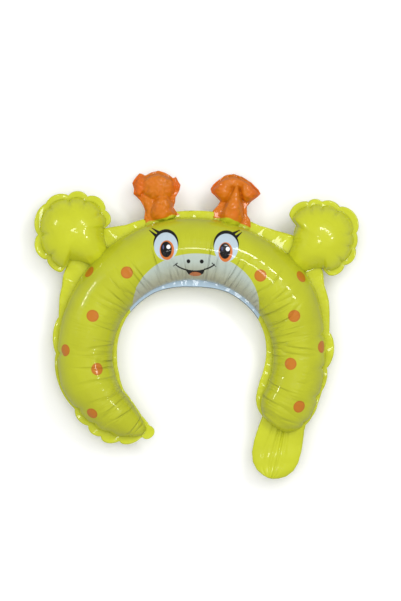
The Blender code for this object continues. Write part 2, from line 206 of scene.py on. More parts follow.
@dataclass
class Film:
    """Film that air fills: it keeps the lengths it was cut to, and folds where it has too much.

    Attributes:
        body: The closed mesh, in its smooth filled shape.
        grain: For each point, the direction in which the film has too much length.
        spare: For each point, how much too much, as a share of the length.
        held: For each point, whether a weld holds it in place.
        rough: For each point, the small unevenness that the folds grow from.
        steps: How many short moments are worked out.
        passes: How often the lengths are put right in each moment.
        push: How far the air moves free film in a moment, in metres.
        drag: The share of its speed that the film keeps from moment to moment.
        stiffness: How much of its unevenness the film loses in a moment.
        pull: The share of a wrong length that one pass puts right.
        cross_grip: How firmly the film keeps its diagonals, beside its edges.
    """

    body: bmesh.types.BMesh
    grain: np.ndarray
    spare: np.ndarray
    held: np.ndarray
    rough: np.ndarray
    steps: int = 160
    passes: int = 5
    push: float = 4.0e-5
    drag: float = 0.90
    stiffness: float = 0.08
    pull: float = 0.9
    cross_grip: float = 0.35
    start: np.ndarray = field(init=False)

    def __post_init__(self) -> None:
        """Numbers the points and keeps where they start."""
        self.body.verts.index_update()
        self.start = np.array([vertex.co for vertex in self.body.verts])

    def _pairs(self) -> tuple[np.ndarray, np.ndarray]:
        """The pairs of points that the film keeps apart: edges, and the diagonals of four-sided faces.

        Returns:
            The pairs of point numbers, and how firmly each pair keeps its distance.
        """
        edges = [(edge.verts[0].index, edge.verts[1].index) for edge in self.body.edges]
        cross = []
        for face in self.body.faces:
            if len(face.verts) == 4:
                a, b, c, d = (vertex.index for vertex in face.verts)
                cross += [(a, c), (b, d)]
        grip = np.array([1.0] * len(edges) + [self.cross_grip] * len(cross))
        return np.array(edges + cross), grip

    def _groups(self, pairs: np.ndarray) -> list[np.ndarray]:
        """Splits the pairs into groups in which no point comes twice, so that a group moves at once.

        Args:
            pairs: The pairs of point numbers.

        Returns:
            The numbers of the pairs in each group.
        """
        used = [0] * len(self.start)
        groups: list[list[int]] = []
        for number, (a, b) in enumerate(pairs.tolist()):
            taken = used[a] | used[b]
            free = ~taken & (taken + 1)
            slot = free.bit_length() - 1
            used[a] |= free
            used[b] |= free
            if slot == len(groups):
                groups.append([])
            groups[slot].append(number)
        return [np.array(group) for group in groups]

    def _normals(self, points: np.ndarray, corners: np.ndarray) -> np.ndarray:
        """The film's outward direction at each point.

        Args:
            points: Where the points are.
            corners: The four point numbers of each face.

        Returns:
            A vector of length 1 for each point.
        """
        across = points[corners[:, 2]] - points[corners[:, 0]]
        along = points[corners[:, 3]] - points[corners[:, 1]]
        face = np.cross(across, along)
        total = np.empty_like(points)
        for axis in range(3):
            load = np.repeat(face[:, axis], 4)
            total[:, axis] = np.bincount(corners.ravel(), load, len(points))
        return unit(total)

    def _average(self, values: np.ndarray, ends: np.ndarray) -> np.ndarray:
        """The mean of the values at each point's neighbours.

        Args:
            values: A row for each point.
            ends: The point numbers of each edge.

        Returns:
            The mean row for each point.
        """
        total = np.empty_like(values)
        for axis in range(3):
            total[:, axis] = np.bincount(ends[:, 0], values[ends[:, 1], axis], len(values))
            total[:, axis] += np.bincount(ends[:, 1], values[ends[:, 0], axis], len(values))
        return total / np.maximum(np.bincount(ends.ravel(), minlength=len(values)), 1)[:, None]

    def fill(self) -> None:
        """Lets the air press the film out until it is taut, and writes the result into the mesh."""
        pairs, grip = self._pairs()
        gap = self.start[pairs[:, 1]] - self.start[pairs[:, 0]]
        grain = unit(self.grain[pairs[:, 0]] + self.grain[pairs[:, 1]])
        spare = 0.5 * (self.spare[pairs[:, 0]] + self.spare[pairs[:, 1]])
        along = (gap * grain).sum(axis=1)
        lengths = np.sqrt((gap**2).sum(axis=1) + ((1.0 + spare) ** 2 - 1.0) * along**2)
        free = np.where(self.held, 0.0, 1.0)
        share = np.stack([free[pairs[:, 0]], free[pairs[:, 1]]], axis=1)
        share *= self.pull * grip[:, None] / np.maximum(share.sum(axis=1, keepdims=True), 1.0)
        quads = [[v.index for v in face.verts] for face in self.body.faces if len(face.verts) in (3, 4)]
        corners = np.array([quad if len(quad) == 4 else quad + quad[-1:] for quad in quads])
        groups = self._groups(pairs)
        tied = [(pairs[g, 0], pairs[g, 1], lengths[g], share[g, :1], share[g, 1:]) for g in groups]
        points = self.start + self._normals(self.start, corners) * (self.rough * free)[:, None]
        speed = np.zeros_like(points)
        ends = pairs[: len(self.body.edges)]
        for _ in range(self.steps):
            speed = speed * self.drag + self._normals(points, corners) * (self.push * free[:, None])
            moved = points + speed
            for _ in range(self.passes):
                for a, b, length, first, second in tied:
                    gap = moved[b] - moved[a]
                    size = np.sqrt(np.einsum("ij,ij->i", gap, gap))
                    gap *= ((size - length) / np.maximum(size, 1e-9))[:, None]
                    moved[a] += gap * first
                    moved[b] -= gap * second
            shift = moved - self.start
            shift += self.stiffness * (self._average(shift, ends) - shift) * free[:, None]
            moved = self.start + shift
            speed = moved - points
            points = moved
        move_to(self.body, points)


def coordinates(body: bmesh.types.BMesh) -> np.ndarray:
    """The points of a mesh, one row each."""
    return np.array([vertex.co for vertex in body.verts])


def move_to(body: bmesh.types.BMesh, points: np.ndarray) -> None:
    """Moves each point of a mesh to its new place."""
    for vertex, point in zip(body.verts, points):
        vertex.co = point


def finished(name: str, body: bmesh.types.BMesh, material: bpy.types.Material) -> bpy.types.Object:
    """Turns a closed mesh into a piece of the balloon.

    Args:
        name: The piece's name.
        body: Its mesh, which is freed.
        material: Its finish.

    Returns:
        The new object, which rides on the balloon and stands for its solid.
    """
    body.normal_update()
    mesh = bpy.data.meshes.new(name)
    body.to_mesh(mesh)
    body.free()
    mesh.shade_smooth()
    piece = bpy.data.objects.new(name, mesh)
    bpy.context.scene.collection.objects.link(piece)
    mesh.materials.append(material)
    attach(piece, BODY)
    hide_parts(NODE)
    return piece


def flat_sheet(
    name: str,
    columns: int,
    rows: int,
    place: Callable[[np.ndarray, np.ndarray], np.ndarray],
    thickness: float,
    material: bpy.types.Material,
) -> bpy.types.Object:
    """A thin sheet of sealed film.

    Args:
        name: The piece's name.
        columns: How many faces it has along its length.
        rows: How many faces it has across.
        place: Gives the points for shares along and across, each from 0 to 1.
        thickness: The sealed film's thickness.
        material: Its finish.

    Returns:
        The new object, closed by a live Solidify modifier.
    """
    body = bmesh.new()
    bmesh.ops.create_grid(body, x_segments=columns, y_segments=rows, size=0.5)
    grid = coordinates(body)
    across = body.verts.layers.float.new("across")
    for vertex in body.verts:
        vertex[across] = vertex.co.y + 0.5
    move_to(body, place(grid[:, 0] + 0.5, grid[:, 1] + 0.5))
    bmesh.ops.remove_doubles(body, verts=body.verts, dist=MERGE)
    bmesh.ops.recalc_face_normals(body, faces=body.faces)
    piece = finished(name, body, material)
    wall = piece.modifiers.new("film", "SOLIDIFY")
    wall.thickness = thickness
    wall.offset = 0.0
    return piece


# Shader tools


Value = "Signal | float | tuple"


class Signal:
    """A socket of a shader, with the operators that numbers have."""

    def __init__(self, shader: "Shader", socket: bpy.types.NodeSocket) -> None:
        """Wraps a socket of a shader's node."""
        self.shader = shader
        self.socket = socket

    def _math(self, operation: str, *values: Value, clamp: bool = False) -> "Signal":
        """The result of a Math node."""
        settings = {"operation": operation, "use_clamp": clamp}
        return self.shader.add("ShaderNodeMath", settings, dict(enumerate(values)))

    def __add__(self, other: Value) -> "Signal":
        """This plus another."""
        return self._math("ADD", self, other)

    __radd__ = __add__

    def __sub__(self, other: Value) -> "Signal":
        """This less another."""
        return self._math("SUBTRACT", self, other)

    def __rsub__(self, other: Value) -> "Signal":
        """Another less this."""
        return self._math("SUBTRACT", other, self)

    def __mul__(self, other: Value) -> "Signal":
        """This times another."""
        return self._math("MULTIPLY", self, other)

    __rmul__ = __mul__

    def __truediv__(self, other: Value) -> "Signal":
        """This divided by another."""
        return self._math("DIVIDE", self, other)

    def __neg__(self) -> "Signal":
        """This, below zero where it was above."""
        return self._math("MULTIPLY", self, -1.0)

    def __abs__(self) -> "Signal":
        """This without its sign."""
        return self._math("ABSOLUTE", self)

    def root(self) -> "Signal":
        """The square root."""
        return self._math("SQRT", self)

    def most(self, other: Value) -> "Signal":
        """The larger of this and another."""
        return self._math("MAXIMUM", self, other)

    def clamped(self) -> "Signal":
        """This, held between 0 and 1."""
        return self._math("ADD", self, 0.0, clamp=True)

    def below(self, level: Value, soft: float) -> "Signal":
        """1 where this is under a level and 0 over it, with a soft edge of this width."""
        return ((level - self) / soft + 0.5).clamped()

    def turn_from(self, other: "Signal") -> "Signal":
        """The angle of a point whose first coordinate is this, from the axis of the other."""
        return self._math("ARCTAN2", self, other)


class Shader:
    """A material's nodes."""

    def __init__(self, name: str) -> None:
        """Starts a material of this name, with its one surface shader."""
        self.material = bpy.data.materials.new(name)
        self.material.use_nodes = True
        self.tree = self.material.node_tree
        self.surface = self.tree.nodes["Principled BSDF"]

    def add(self, kind: str, settings: dict, values: dict, output: int | str = 0) -> Signal:
        """Adds a node.

        Args:
            kind: The node's type.
            settings: Its own settings, set first, with a ramp's stops as (place, colour) pairs.
            values: Numbers, colours or signals for its sockets, by name or number.
            output: Which of its outputs to read.

        Returns:
            The signal from that output.
        """
        node = self.tree.nodes.new(kind)
        for key, value in settings.items():
            if key == "stops":
                ramp = node.color_ramp
                for stop in range(len(value) - len(ramp.elements)):
                    ramp.elements.new(0.5)
                for element, (place, colour) in zip(ramp.elements, value):
                    element.position = place
                    element.color = colour
            else:
                setattr(node, key, value)
        for key, value in values.items():
            self.feed(node.inputs[key], value)
        return Signal(self, node.outputs[output])

    def feed(self, socket: bpy.types.NodeSocket, value: Value) -> None:
        """Sets a socket to a value, or links a signal to it.

        Args:
            socket: The socket.
            value: A number, a colour or a signal.
        """
        if isinstance(value, Signal):
            self.tree.links.new(value.socket, socket)
        else:
            socket.default_value = value

    def mix(self, share: Value, first: Value, second: Value) -> Signal:
        """The first colour, with this share of the second."""
        values = {"Factor": share, 6: first, 7: second}
        return self.add("ShaderNodeMix", {"data_type": "RGBA"}, values, output=2)

    def vector(self, x: Value, y: Value, z: Value) -> Signal:
        """A vector of three numbers."""
        return self.add("ShaderNodeCombineXYZ", {}, {0: x, 1: y, 2: z})

    def noise(self, place: Signal, scale: float, detail: float = 2.0) -> Signal:
        """Uneven values from 0 to 1, without a pattern."""
        return self.add("ShaderNodeTexNoise", {}, {"Vector": place, "Scale": scale, "Detail": detail})


def colour(red: int, green: int, blue: int) -> tuple[float, float, float, float]:
    """A colour in linear light, from its values on screen of 0 to 255.

    Args:
        red: Its red.
        green: Its green.
        blue: Its blue.

    Returns:
        The colour, with full cover.
    """
    lights = []
    for level in (red / 255.0, green / 255.0, blue / 255.0):
        lights.append(level / 12.92 if level <= 0.04045 else ((level + 0.055) / 1.055) ** 2.4)
    return (*lights, 1.0)


# Finishes


@dataclass(frozen=True)
class Oval:
    """An upright oval of print, in millimetres from the hoop's centre."""

    x: float
    y: float
    width: float
    height: float


@dataclass(frozen=True)
class Stroke:
    """A straight stroke of print that narrows to its end, in millimetres from the hoop's centre."""

    start: tuple[float, float]
    end: tuple[float, float]
    thick: float
    thin: float


@dataclass(frozen=True)
class Eye:
    """One printed eye, with the lash line over it."""

    white: Oval
    lid: Oval
    iris: Oval
    pupil: Oval
    shine: Oval
    streak: Oval
    lashes: tuple[Stroke, ...]


@dataclass(frozen=True)
class Inks:
    """The inks that the film is printed with, and a colour of painted shade for the muzzle."""

    film: tuple = colour(178, 184, 35)
    film_deep: tuple = colour(166, 170, 32)
    orange: tuple = colour(196, 108, 10)
    orange_deep: tuple = colour(204, 94, 10)
    spot: tuple = colour(184, 110, 28)
    spot_rim: tuple = colour(174, 98, 26)
    muzzle: tuple = colour(174, 186, 176)
    # painted shade, not ink: the muzzle darkens to this towards the hoop's centre, where the tube turns away
    # from the light
    muzzle_painted_shade: tuple = colour(172, 172, 144)
    eye_white: tuple = colour(176, 192, 202)
    sealed_white: tuple = colour(172, 195, 212)
    cut_edge: tuple = colour(92, 98, 100)
    iris: tuple = colour(196, 108, 46)
    tongue: tuple = colour(186, 110, 58)
    black: tuple = colour(8, 7, 8)
    shine: tuple = colour(236, 240, 246)
    grey: tuple = colour(84, 88, 130)


@dataclass(frozen=True)
class Ripple:
    """A noise on the hoop's film.

    Attributes:
        turn: How fast it varies round the hoop.
        reach: How fast it varies with the distance from the hoop's centre.
        height: How fast it varies with height.
        all_over: How strong it is all over the tube.
        inside: How much stronger it is on the tube's inner half.
    """

    turn: float
    reach: float
    height: float = 0.0
    all_over: float = 0.0
    inside: float = 0.0


@dataclass(frozen=True)
class PrintedFilm:
    """Glossy printed foil film.

    Its lengths are in millimetres, apart from the depths of its bumps, which are in metres. A pair of
    numbers for a part of the film is where it starts and how wide its soft edge is.

    Attributes:
        tone_scale: How fast the film's two tones vary.
        seam_painted_light: How much brighter the sealed film is painted than the hoop's, as painted light for
            the light its flat film catches.
        inner_reach: How far from the hoop's centre its inner half ends.
        left_side: The side of the hoop on which that is nearer by left_drop.
        horn_wave: How fast and how far the edge of the horns' orange runs in and out.
        spots: The spots' middles.
    """

    inks: Inks = Inks()
    roughness: float = 0.30
    ior: float = 1.30
    coat: float = 0.70
    coat_roughness: float = 0.04
    coat_ior: float = 1.45
    tone_scale: float = 28.0
    tone_contrast: float = 1.6
    tone_share: float = 0.35
    # painted light: the sealed film's ink is brightened to stand in for the light it catches
    seam_painted_light: float = 1.2
    fine_ripple: Ripple = Ripple(46.0, 0.035, 0.03, all_over=0.15, inside=0.85)
    broad_ripple: Ripple = Ripple(9.0, 0.02, 0.02, all_over=0.25, inside=0.35)
    patches: Ripple = Ripple(4.0, 0.05)
    patch_level: float = 0.40
    patch_contrast: float = 5.0
    creases: Ripple = Ripple(7.0, 0.012, 0.01, all_over=0.1, inside=0.9)
    crease_line: tuple[float, float] = (0.03, 0.06)
    crease_strength: float = 0.75
    inner_reach: float = 129.0
    inner_blend: float = 20.0
    left_side: tuple[float, float] = (-30.0, 80.0)
    left_drop: float = 10.0
    hoop_bump: float = 0.0014
    plain_bump: float = 0.0020
    plain_grain: float = 40.0
    seam_bump: float = 0.0035
    seam_grain: float = 60.0
    horn_bump: float = 0.0036
    horn_ridges: float = 75.0
    horn_grain: float = 170.0
    grain_share: float = 0.4
    horn_sides: tuple[float, float] = (12.0, 9.0)
    horn_tops: tuple[float, float] = (162.0, 12.0)
    side_share: float = 0.75
    horn_folds: float = 90.0
    fold_level: float = 0.45
    fold_contrast: float = 2.6
    fold_share: float = 0.45
    horn_wave: tuple[float, float] = (55.0, 9.0)
    horn_blend: float = 0.8
    edge: float = 0.45
    spot_size: float = 6.4
    spot_rim: float = 0.9
    spot_blend: float = 1.2
    eyes: tuple[Eye, ...] = (
        Eye(
            white=Oval(-27.3, 116.7, 25.0, 28.9),
            lid=Oval(-27.3, 119.9, 26.4, 29.6),
            iris=Oval(-26.3, 112.7, 15.3, 20.3),
            pupil=Oval(-27.0, 113.5, 11.8, 16.4),
            shine=Oval(-24.6, 116.1, 4.2, 4.4),
            streak=Oval(-30.0, 115.8, 1.6, 4.6),
            lashes=(
                Stroke((-34.6, 130.9), (-42.4, 136.0), 3.4, 0.7),
                Stroke((-37.6, 127.6), (-45.0, 133.6), 3.4, 0.7),
            ),
        ),
        Eye(
            white=Oval(36.2, 115.2, 25.6, 29.2),
            lid=Oval(36.2, 118.4, 27.0, 29.9),
            iris=Oval(35.6, 110.6, 14.9, 20.3),
            pupil=Oval(35.0, 111.8, 11.6, 16.4),
            shine=Oval(38.0, 113.7, 4.2, 4.4),
            streak=Oval(31.9, 114.2, 1.6, 4.6),
            lashes=(
                Stroke((43.2, 129.6), (50.9, 133.7), 3.4, 0.7),
                Stroke((46.6, 125.9), (53.0, 131.4), 3.4, 0.7),
            ),
        ),
    )
    lid_drop: float = 1.0
    lid_fade: float = 3.0
    streak_strength: float = 0.8
    muzzle: Oval = Oval(4.4, 54.2, 134.8, 110.2)
    # where the muzzle's painted shade begins, in millimetres from the hoop's centre, and the width of its
    # soft edge
    muzzle_shade: tuple[float, float] = (93.0, 16.0)
    sealed_muzzle: Oval = Oval(3.8, 55.2, 141.0, 106.0)
    sealed_reach: float = 100.0
    cut_share: float = 0.945
    cut_blend: float = 0.03
    front_blend: float = 0.02
    orange_reach: float = 150.6
    nostrils: tuple[Oval, ...] = (Oval(-3.6, 101.2, 4.0, 4.2), Oval(10.3, 101.0, 4.0, 4.2))
    smile_centre: tuple[float, float] = (3.3, 125.4)
    smile_radius: float = 34.4
    smile_half_width: float = 20.8
    smile_thickness: float = 0.72
    smile_ticks: tuple[Stroke, ...] = (
        Stroke((-15.2, 99.3), (-19.6, 96.2), 1.0, 0.7),
        Stroke((21.4, 99.3), (25.2, 95.6), 1.0, 0.7),
    )
    mouth: Oval = Oval(3.6, 93.4, 20.4, 15.6)
    tongue: Oval = Oval(3.6, 86.9, 12.4, 6.4)
    spots: tuple[tuple[float, float], ...] = (
        (-109.0, 89.6), (-68.6, 89.2), (-105.3, 43.3), (-134.9, 6.5), (-101.5, -13.4), (-108.3, -60.6),
        (72.8, 85.9), (116.2, 84.9), (108.3, 43.8), (138.1, 10.1), (105.6, -7.8), (115.8, -52.6),
    )

    def _spot_places(self) -> list[np.ndarray]:
        """The middle of each spot on the tube's surface, in the frame's axes.

        Returns:
            A place in metres for each spot.
        """
        places = []
        for x, y in self.spots:
            angle = np.array(math.degrees(math.atan2(x, y)))
            aside = math.hypot(x, y) * MM - LINE.middle_radius(angle)
            radius = LINE.tube_radius(angle)
            lift = np.sqrt(np.maximum(radius**2 - aside**2, 0.0))
            places.append(LINE.place(angle, LINE.middle_radius(angle) + aside, lift))
        return places

    def _surface(self, shader: Shader) -> None:
        """Sets what is the same all over the film.

        Args:
            shader: The material that is being made.
        """
        inputs = shader.surface.inputs
        inputs["Roughness"].default_value = self.roughness
        inputs["Metallic"].default_value = 0.0
        inputs["Coat Weight"].default_value = self.coat
        inputs["Coat Roughness"].default_value = self.coat_roughness
        inputs["IOR"].default_value = self.ior
        inputs["Coat IOR"].default_value = self.coat_ior

    def _oval(self, x: Signal, y: Signal, oval: Oval) -> Signal:
        """1 inside an oval of print and 0 outside it.

        Args:
            x: Millimetres to the right of the hoop's centre.
            y: Millimetres above the hoop's centre.
            oval: The oval.

        Returns:
            The mask, with a soft edge.
        """
        across = (x - oval.x) / (0.5 * oval.width)
        up = (y - oval.y) / (0.5 * oval.height)
        reach = (across * across + up * up).root()
        return reach.below(1.0, self.edge / (0.25 * (oval.width + oval.height)))

    def _stroke(self, x: Signal, y: Signal, stroke: Stroke) -> Signal:
        """1 on a stroke of print and 0 off it.

        Args:
            x: Millimetres to the right of the hoop's centre.
            y: Millimetres above the hoop's centre.
            stroke: The stroke.

        Returns:
            The mask, with a soft edge.
        """
        way = Vector(stroke.end) - Vector(stroke.start)
        length = way.length
        way.normalize()
        right, up = x - stroke.start[0], y - stroke.start[1]
        along = ((right * way.x + up * way.y) / length).clamped()
        across = right - along * (way.x * length)
        rise = up - along * (way.y * length)
        reach = (across * across + rise * rise).root()
        half = 0.5 * stroke.thick - along * (0.5 * (stroke.thick - stroke.thin))
        return reach.below(half, self.edge)

    def _eye(self, shader: Shader, x: Signal, y: Signal, base: Signal, eye: Eye) -> Signal:
        """Prints one eye over a colour.

        Args:
            shader: The material that is being made.
            x: Millimetres to the right of the hoop's centre.
            y: Millimetres above the hoop's centre.
            base: The colour under the print.
            eye: The eye.

        Returns:
            The colour with the eye on it.
        """
        inks = self.inks
        low_lid = (-y).below(-eye.white.y + self.lid_drop, self.lid_fade)
        base = shader.mix(self._oval(x, y, eye.lid) * low_lid, base, inks.black)
        for lash in eye.lashes:
            base = shader.mix(self._stroke(x, y, lash), base, inks.black)
        base = shader.mix(self._oval(x, y, eye.white), base, inks.eye_white)
        base = shader.mix(self._oval(x, y, eye.iris), base, inks.iris)
        base = shader.mix(self._oval(x, y, eye.pupil), base, inks.black)
        base = shader.mix(self._oval(x, y, eye.streak) * self.streak_strength, base, inks.grey)
        return shader.mix(self._oval(x, y, eye.shine), base, inks.shine)

    def _mouth(self, shader: Shader, x: Signal, y: Signal, base: Signal) -> Signal:
        """Prints the nostrils, the smile, the open mouth and the tongue over a colour.

        Args:
            shader: The material that is being made.
            x: Millimetres to the right of the hoop's centre.
            y: Millimetres above the hoop's centre.
            base: The colour under the print.

        Returns:
            The colour with the mouth on it.
        """
        inks = self.inks
        for nostril in self.nostrils:
            base = shader.mix(self._oval(x, y, nostril), base, inks.black)
        right, up = x - self.smile_centre[0], y - self.smile_centre[1]
        reach = (right * right + up * up).root()
        inside = abs(right).below(self.smile_half_width, self.edge) * up.below(0.0, self.edge)
        line = abs(reach - self.smile_radius).below(self.smile_thickness, self.edge) * inside
        opened = self._oval(x, y, self.mouth) * (1.0 - reach.below(self.smile_radius, self.edge))
        base = shader.mix(opened, base, inks.black)
        base = shader.mix(self._oval(x, y, self.tongue) * opened, base, inks.tongue)
        for tick in self.smile_ticks:
            line = line.most(self._stroke(x, y, tick))
        return shader.mix(line, base, inks.black)

    def _places(self, shader: Shader, printed: bool = False) -> tuple[Signal, Signal, Signal, Signal]:
        """The place on the balloon, whole and as millimetres from the hoop's centre.

        Args:
            shader: The material that is being made.
            printed: Whether to read the place on the smooth film, as it was before it folded.

        Returns:
            The whole place in metres, then its x, y and height in millimetres.
        """
        if printed:
            whole = shader.add("ShaderNodeAttribute", {"attribute_name": "printed"}, {}, output="Vector")
        else:
            whole = shader.add("ShaderNodeTexCoord", {}, {}, output="Object")
        split = shader.tree.nodes.new("ShaderNodeSeparateXYZ")
        shader.feed(split.inputs[0], whole)
        x = Signal(shader, split.outputs[0]) / MM - HOOP_CENTRE[0] / MM
        y = Signal(shader, split.outputs[1]) / MM - HOOP_CENTRE[1] / MM
        z = Signal(shader, split.outputs[2]) / MM
        return whole, x, y, z

    def _film_tone(self, shader: Shader, whole: Signal, level: float = 1.0) -> Signal:
        """The film's own yellow-green, a little uneven as printed ink is, and brighter by level as painted
        light.

        Args:
            shader: The material that is being made.
            whole: The place on the balloon.
            level: How much brighter the film is painted than the hoop's, as painted light.

        Returns:
            The colour.
        """
        cloud = shader.noise(whole, self.tone_scale, 3.0)
        share = ((cloud - 0.5) * self.tone_contrast + self.tone_share).clamped()
        inks = (self.inks.film, self.inks.film_deep)
        # painted light: level scales both inks up for pieces painted brighter than the hoop
        light, deep = (tuple(level * part for part in ink[:3]) + (1.0,) for ink in inks)
        return shader.mix(share, light, deep)

    def _ripples(self, shader: Shader, x: Signal, y: Signal, z: Signal) -> Signal:
        """Ripples and creases across the tube, strongest on its inner half.

        Args:
            shader: The material that is being made.
            x: Millimetres to the right of the hoop's centre.
            y: Millimetres above the hoop's centre.
            z: The height in millimetres.

        Returns:
            The pattern's height.
        """
        turn = x.turn_from(y)
        reach = (x * x + y * y).root()

        def noise(ripple: Ripple, detail: float = 1.0) -> Signal:
            """The noise of one ripple."""
            place = shader.vector(turn * ripple.turn, reach * ripple.reach, z * ripple.height)
            return shader.noise(place, 1.0, detail)

        def strength(ripple: Ripple) -> Signal:
            """How strong one ripple is at each place."""
            return ripple.all_over + inner * ripple.inside

        inner = reach.below(self.inner_reach - x.below(*self.left_side) * self.left_drop, self.inner_blend)
        patches = ((noise(self.patches, 0.0) - self.patch_level) * self.patch_contrast).clamped()
        fine = noise(self.fine_ripple) * strength(self.fine_ripple) * patches
        broad = noise(self.broad_ripple) * strength(self.broad_ripple)
        crease = 1.0 - abs(noise(self.creases) - 0.5).below(*self.crease_line)
        return fine + broad + crease * strength(self.creases) * self.crease_strength

    def _bump(self, shader: Shader, height: Signal, distance: float) -> None:
        """Lets a height pattern shade the film.

        Args:
            shader: The material that is being made.
            height: The pattern.
            distance: How far its highest places stand out, in metres.
        """
        values = {"Strength": 1.0, "Distance": distance, "Height": height}
        bump = shader.add("ShaderNodeBump", {}, values)
        shader.feed(shader.surface.inputs["Normal"], bump)

    def face(self) -> bpy.types.Material:
        """The hoop's film: yellow-green with the face and the spots on its front, with painted shade on the
        muzzle's inner part.

        Returns:
            The material.
        """
        shader = Shader("hoop_film")
        self._surface(shader)
        whole, x, y, z = self._places(shader, printed=True)
        plain = self._film_tone(shader, whole)
        reach = (x * x + y * y).root()
        # painted shade: the muzzle darkens towards the hoop's centre, on the tube's inner flank
        shade = reach.below(*self.muzzle_shade)
        white = shader.mix(shade, self.inks.muzzle, self.inks.muzzle_painted_shade)
        base = shader.mix(self._oval(x, y, self.muzzle), plain, white)
        for place in self._spot_places():
            gap = shader.add(
                "ShaderNodeVectorMath", {"operation": "DISTANCE"}, {0: whole, 1: tuple(place)}, output="Value"
            )
            away = gap / MM
            middle = away.below(self.spot_size - self.spot_rim, self.spot_blend)
            base = shader.mix(away.below(self.spot_size, self.edge), base, self.inks.spot_rim)
            base = shader.mix(middle, base, self.inks.spot)
        for eye in self.eyes:
            base = self._eye(shader, x, y, base, eye)
        base = self._mouth(shader, x, y, base)
        front = shader.add("ShaderNodeAttribute", {"attribute_name": "front"}, {}, output="Fac")
        base = shader.mix((-front).below(0.0, self.front_blend), plain, base)
        shader.feed(shader.surface.inputs["Base Color"], base)
        self._bump(shader, self._ripples(shader, x, y, z), self.hoop_bump)
        return shader.material

    def plain(self, name: str, level: float = 1.15) -> bpy.types.Material:
        """Film in the plain yellow-green.

        Args:
            name: The material's name.
            level: How much brighter it is painted than the hoop's film, as painted light.

        Returns:
            The material.
        """
        shader = Shader(name)
        self._surface(shader)
        whole, x, y, z = self._places(shader)
        # painted light: the film is painted brighter by level, 1.15 unless given, for the ears, their seams
        # and the tail
        shader.feed(shader.surface.inputs["Base Color"], self._film_tone(shader, whole, level))
        self._bump(shader, abs(shader.noise(whole, self.plain_grain) - 0.5), self.plain_bump)
        return shader.material

    def sealed(self) -> bpy.types.Material:
        """The flat sealed film round the hoop, white along the muzzle.

        Returns:
            The material.
        """
        shader = Shader("hoop_seam")
        self._surface(shader)
        whole, x, y, z = self._places(shader)
        reach = (x * x + y * y).root()
        white = self._oval(x, y, self.sealed_muzzle) * reach.below(self.sealed_reach, 1.0)
        # painted light: the sealed film's yellow-green is painted brighter than the hoop's
        base = shader.mix(white, self._film_tone(shader, whole, self.seam_painted_light), self.inks.sealed_white)
        across = shader.add("ShaderNodeAttribute", {"attribute_name": "across"}, {}, output="Fac")
        cut = (-across).below(-self.cut_share, self.cut_blend)
        base = shader.mix(cut * white, base, self.inks.cut_edge)
        shader.feed(shader.surface.inputs["Base Color"], base)
        self._bump(shader, abs(shader.noise(whole, self.seam_grain) - 0.5), self.seam_bump)
        return shader.material

    def horn(self, name: str, middle: float) -> bpy.types.Material:
        """The horns' orange film, redder in its folds and at its sides.

        Args:
            name: The material's name.
            middle: The horn's x, in metres from the hoop's centre.

        Returns:
            The material.
        """
        shader = Shader(name)
        self._surface(shader)
        whole, x, y, z = self._places(shader)
        side_start, side_width = self.horn_sides
        top_level, top_blend = self.horn_tops
        wave_scale, wave_height = self.horn_wave
        side = ((abs(x - middle / MM) - side_start) / side_width).clamped()
        high = (-y).below(-top_level, top_blend)
        fold = ((shader.noise(whole, self.horn_folds) - self.fold_level) * self.fold_contrast).clamped()
        share = fold * self.fold_share + side * high * self.side_share
        orange = shader.mix(share.clamped(), self.inks.orange, self.inks.orange_deep)
        wave = (shader.noise(whole, wave_scale, 1.0) - 0.5) * wave_height
        reach = (x * x + y * y).root() + wave
        green = self._film_tone(shader, whole)
        base = shader.mix(reach.below(self.orange_reach, self.horn_blend), orange, green)
        shader.feed(shader.surface.inputs["Base Color"], base)
        ridges = abs(shader.noise(whole, self.horn_ridges, 1.0) - 0.5)
        grain = abs(shader.noise(whole, self.horn_grain, 0.0) - 0.5)
        self._bump(shader, ridges + grain * self.grain_share, self.horn_bump)
        return shader.material


# The balloon's pieces


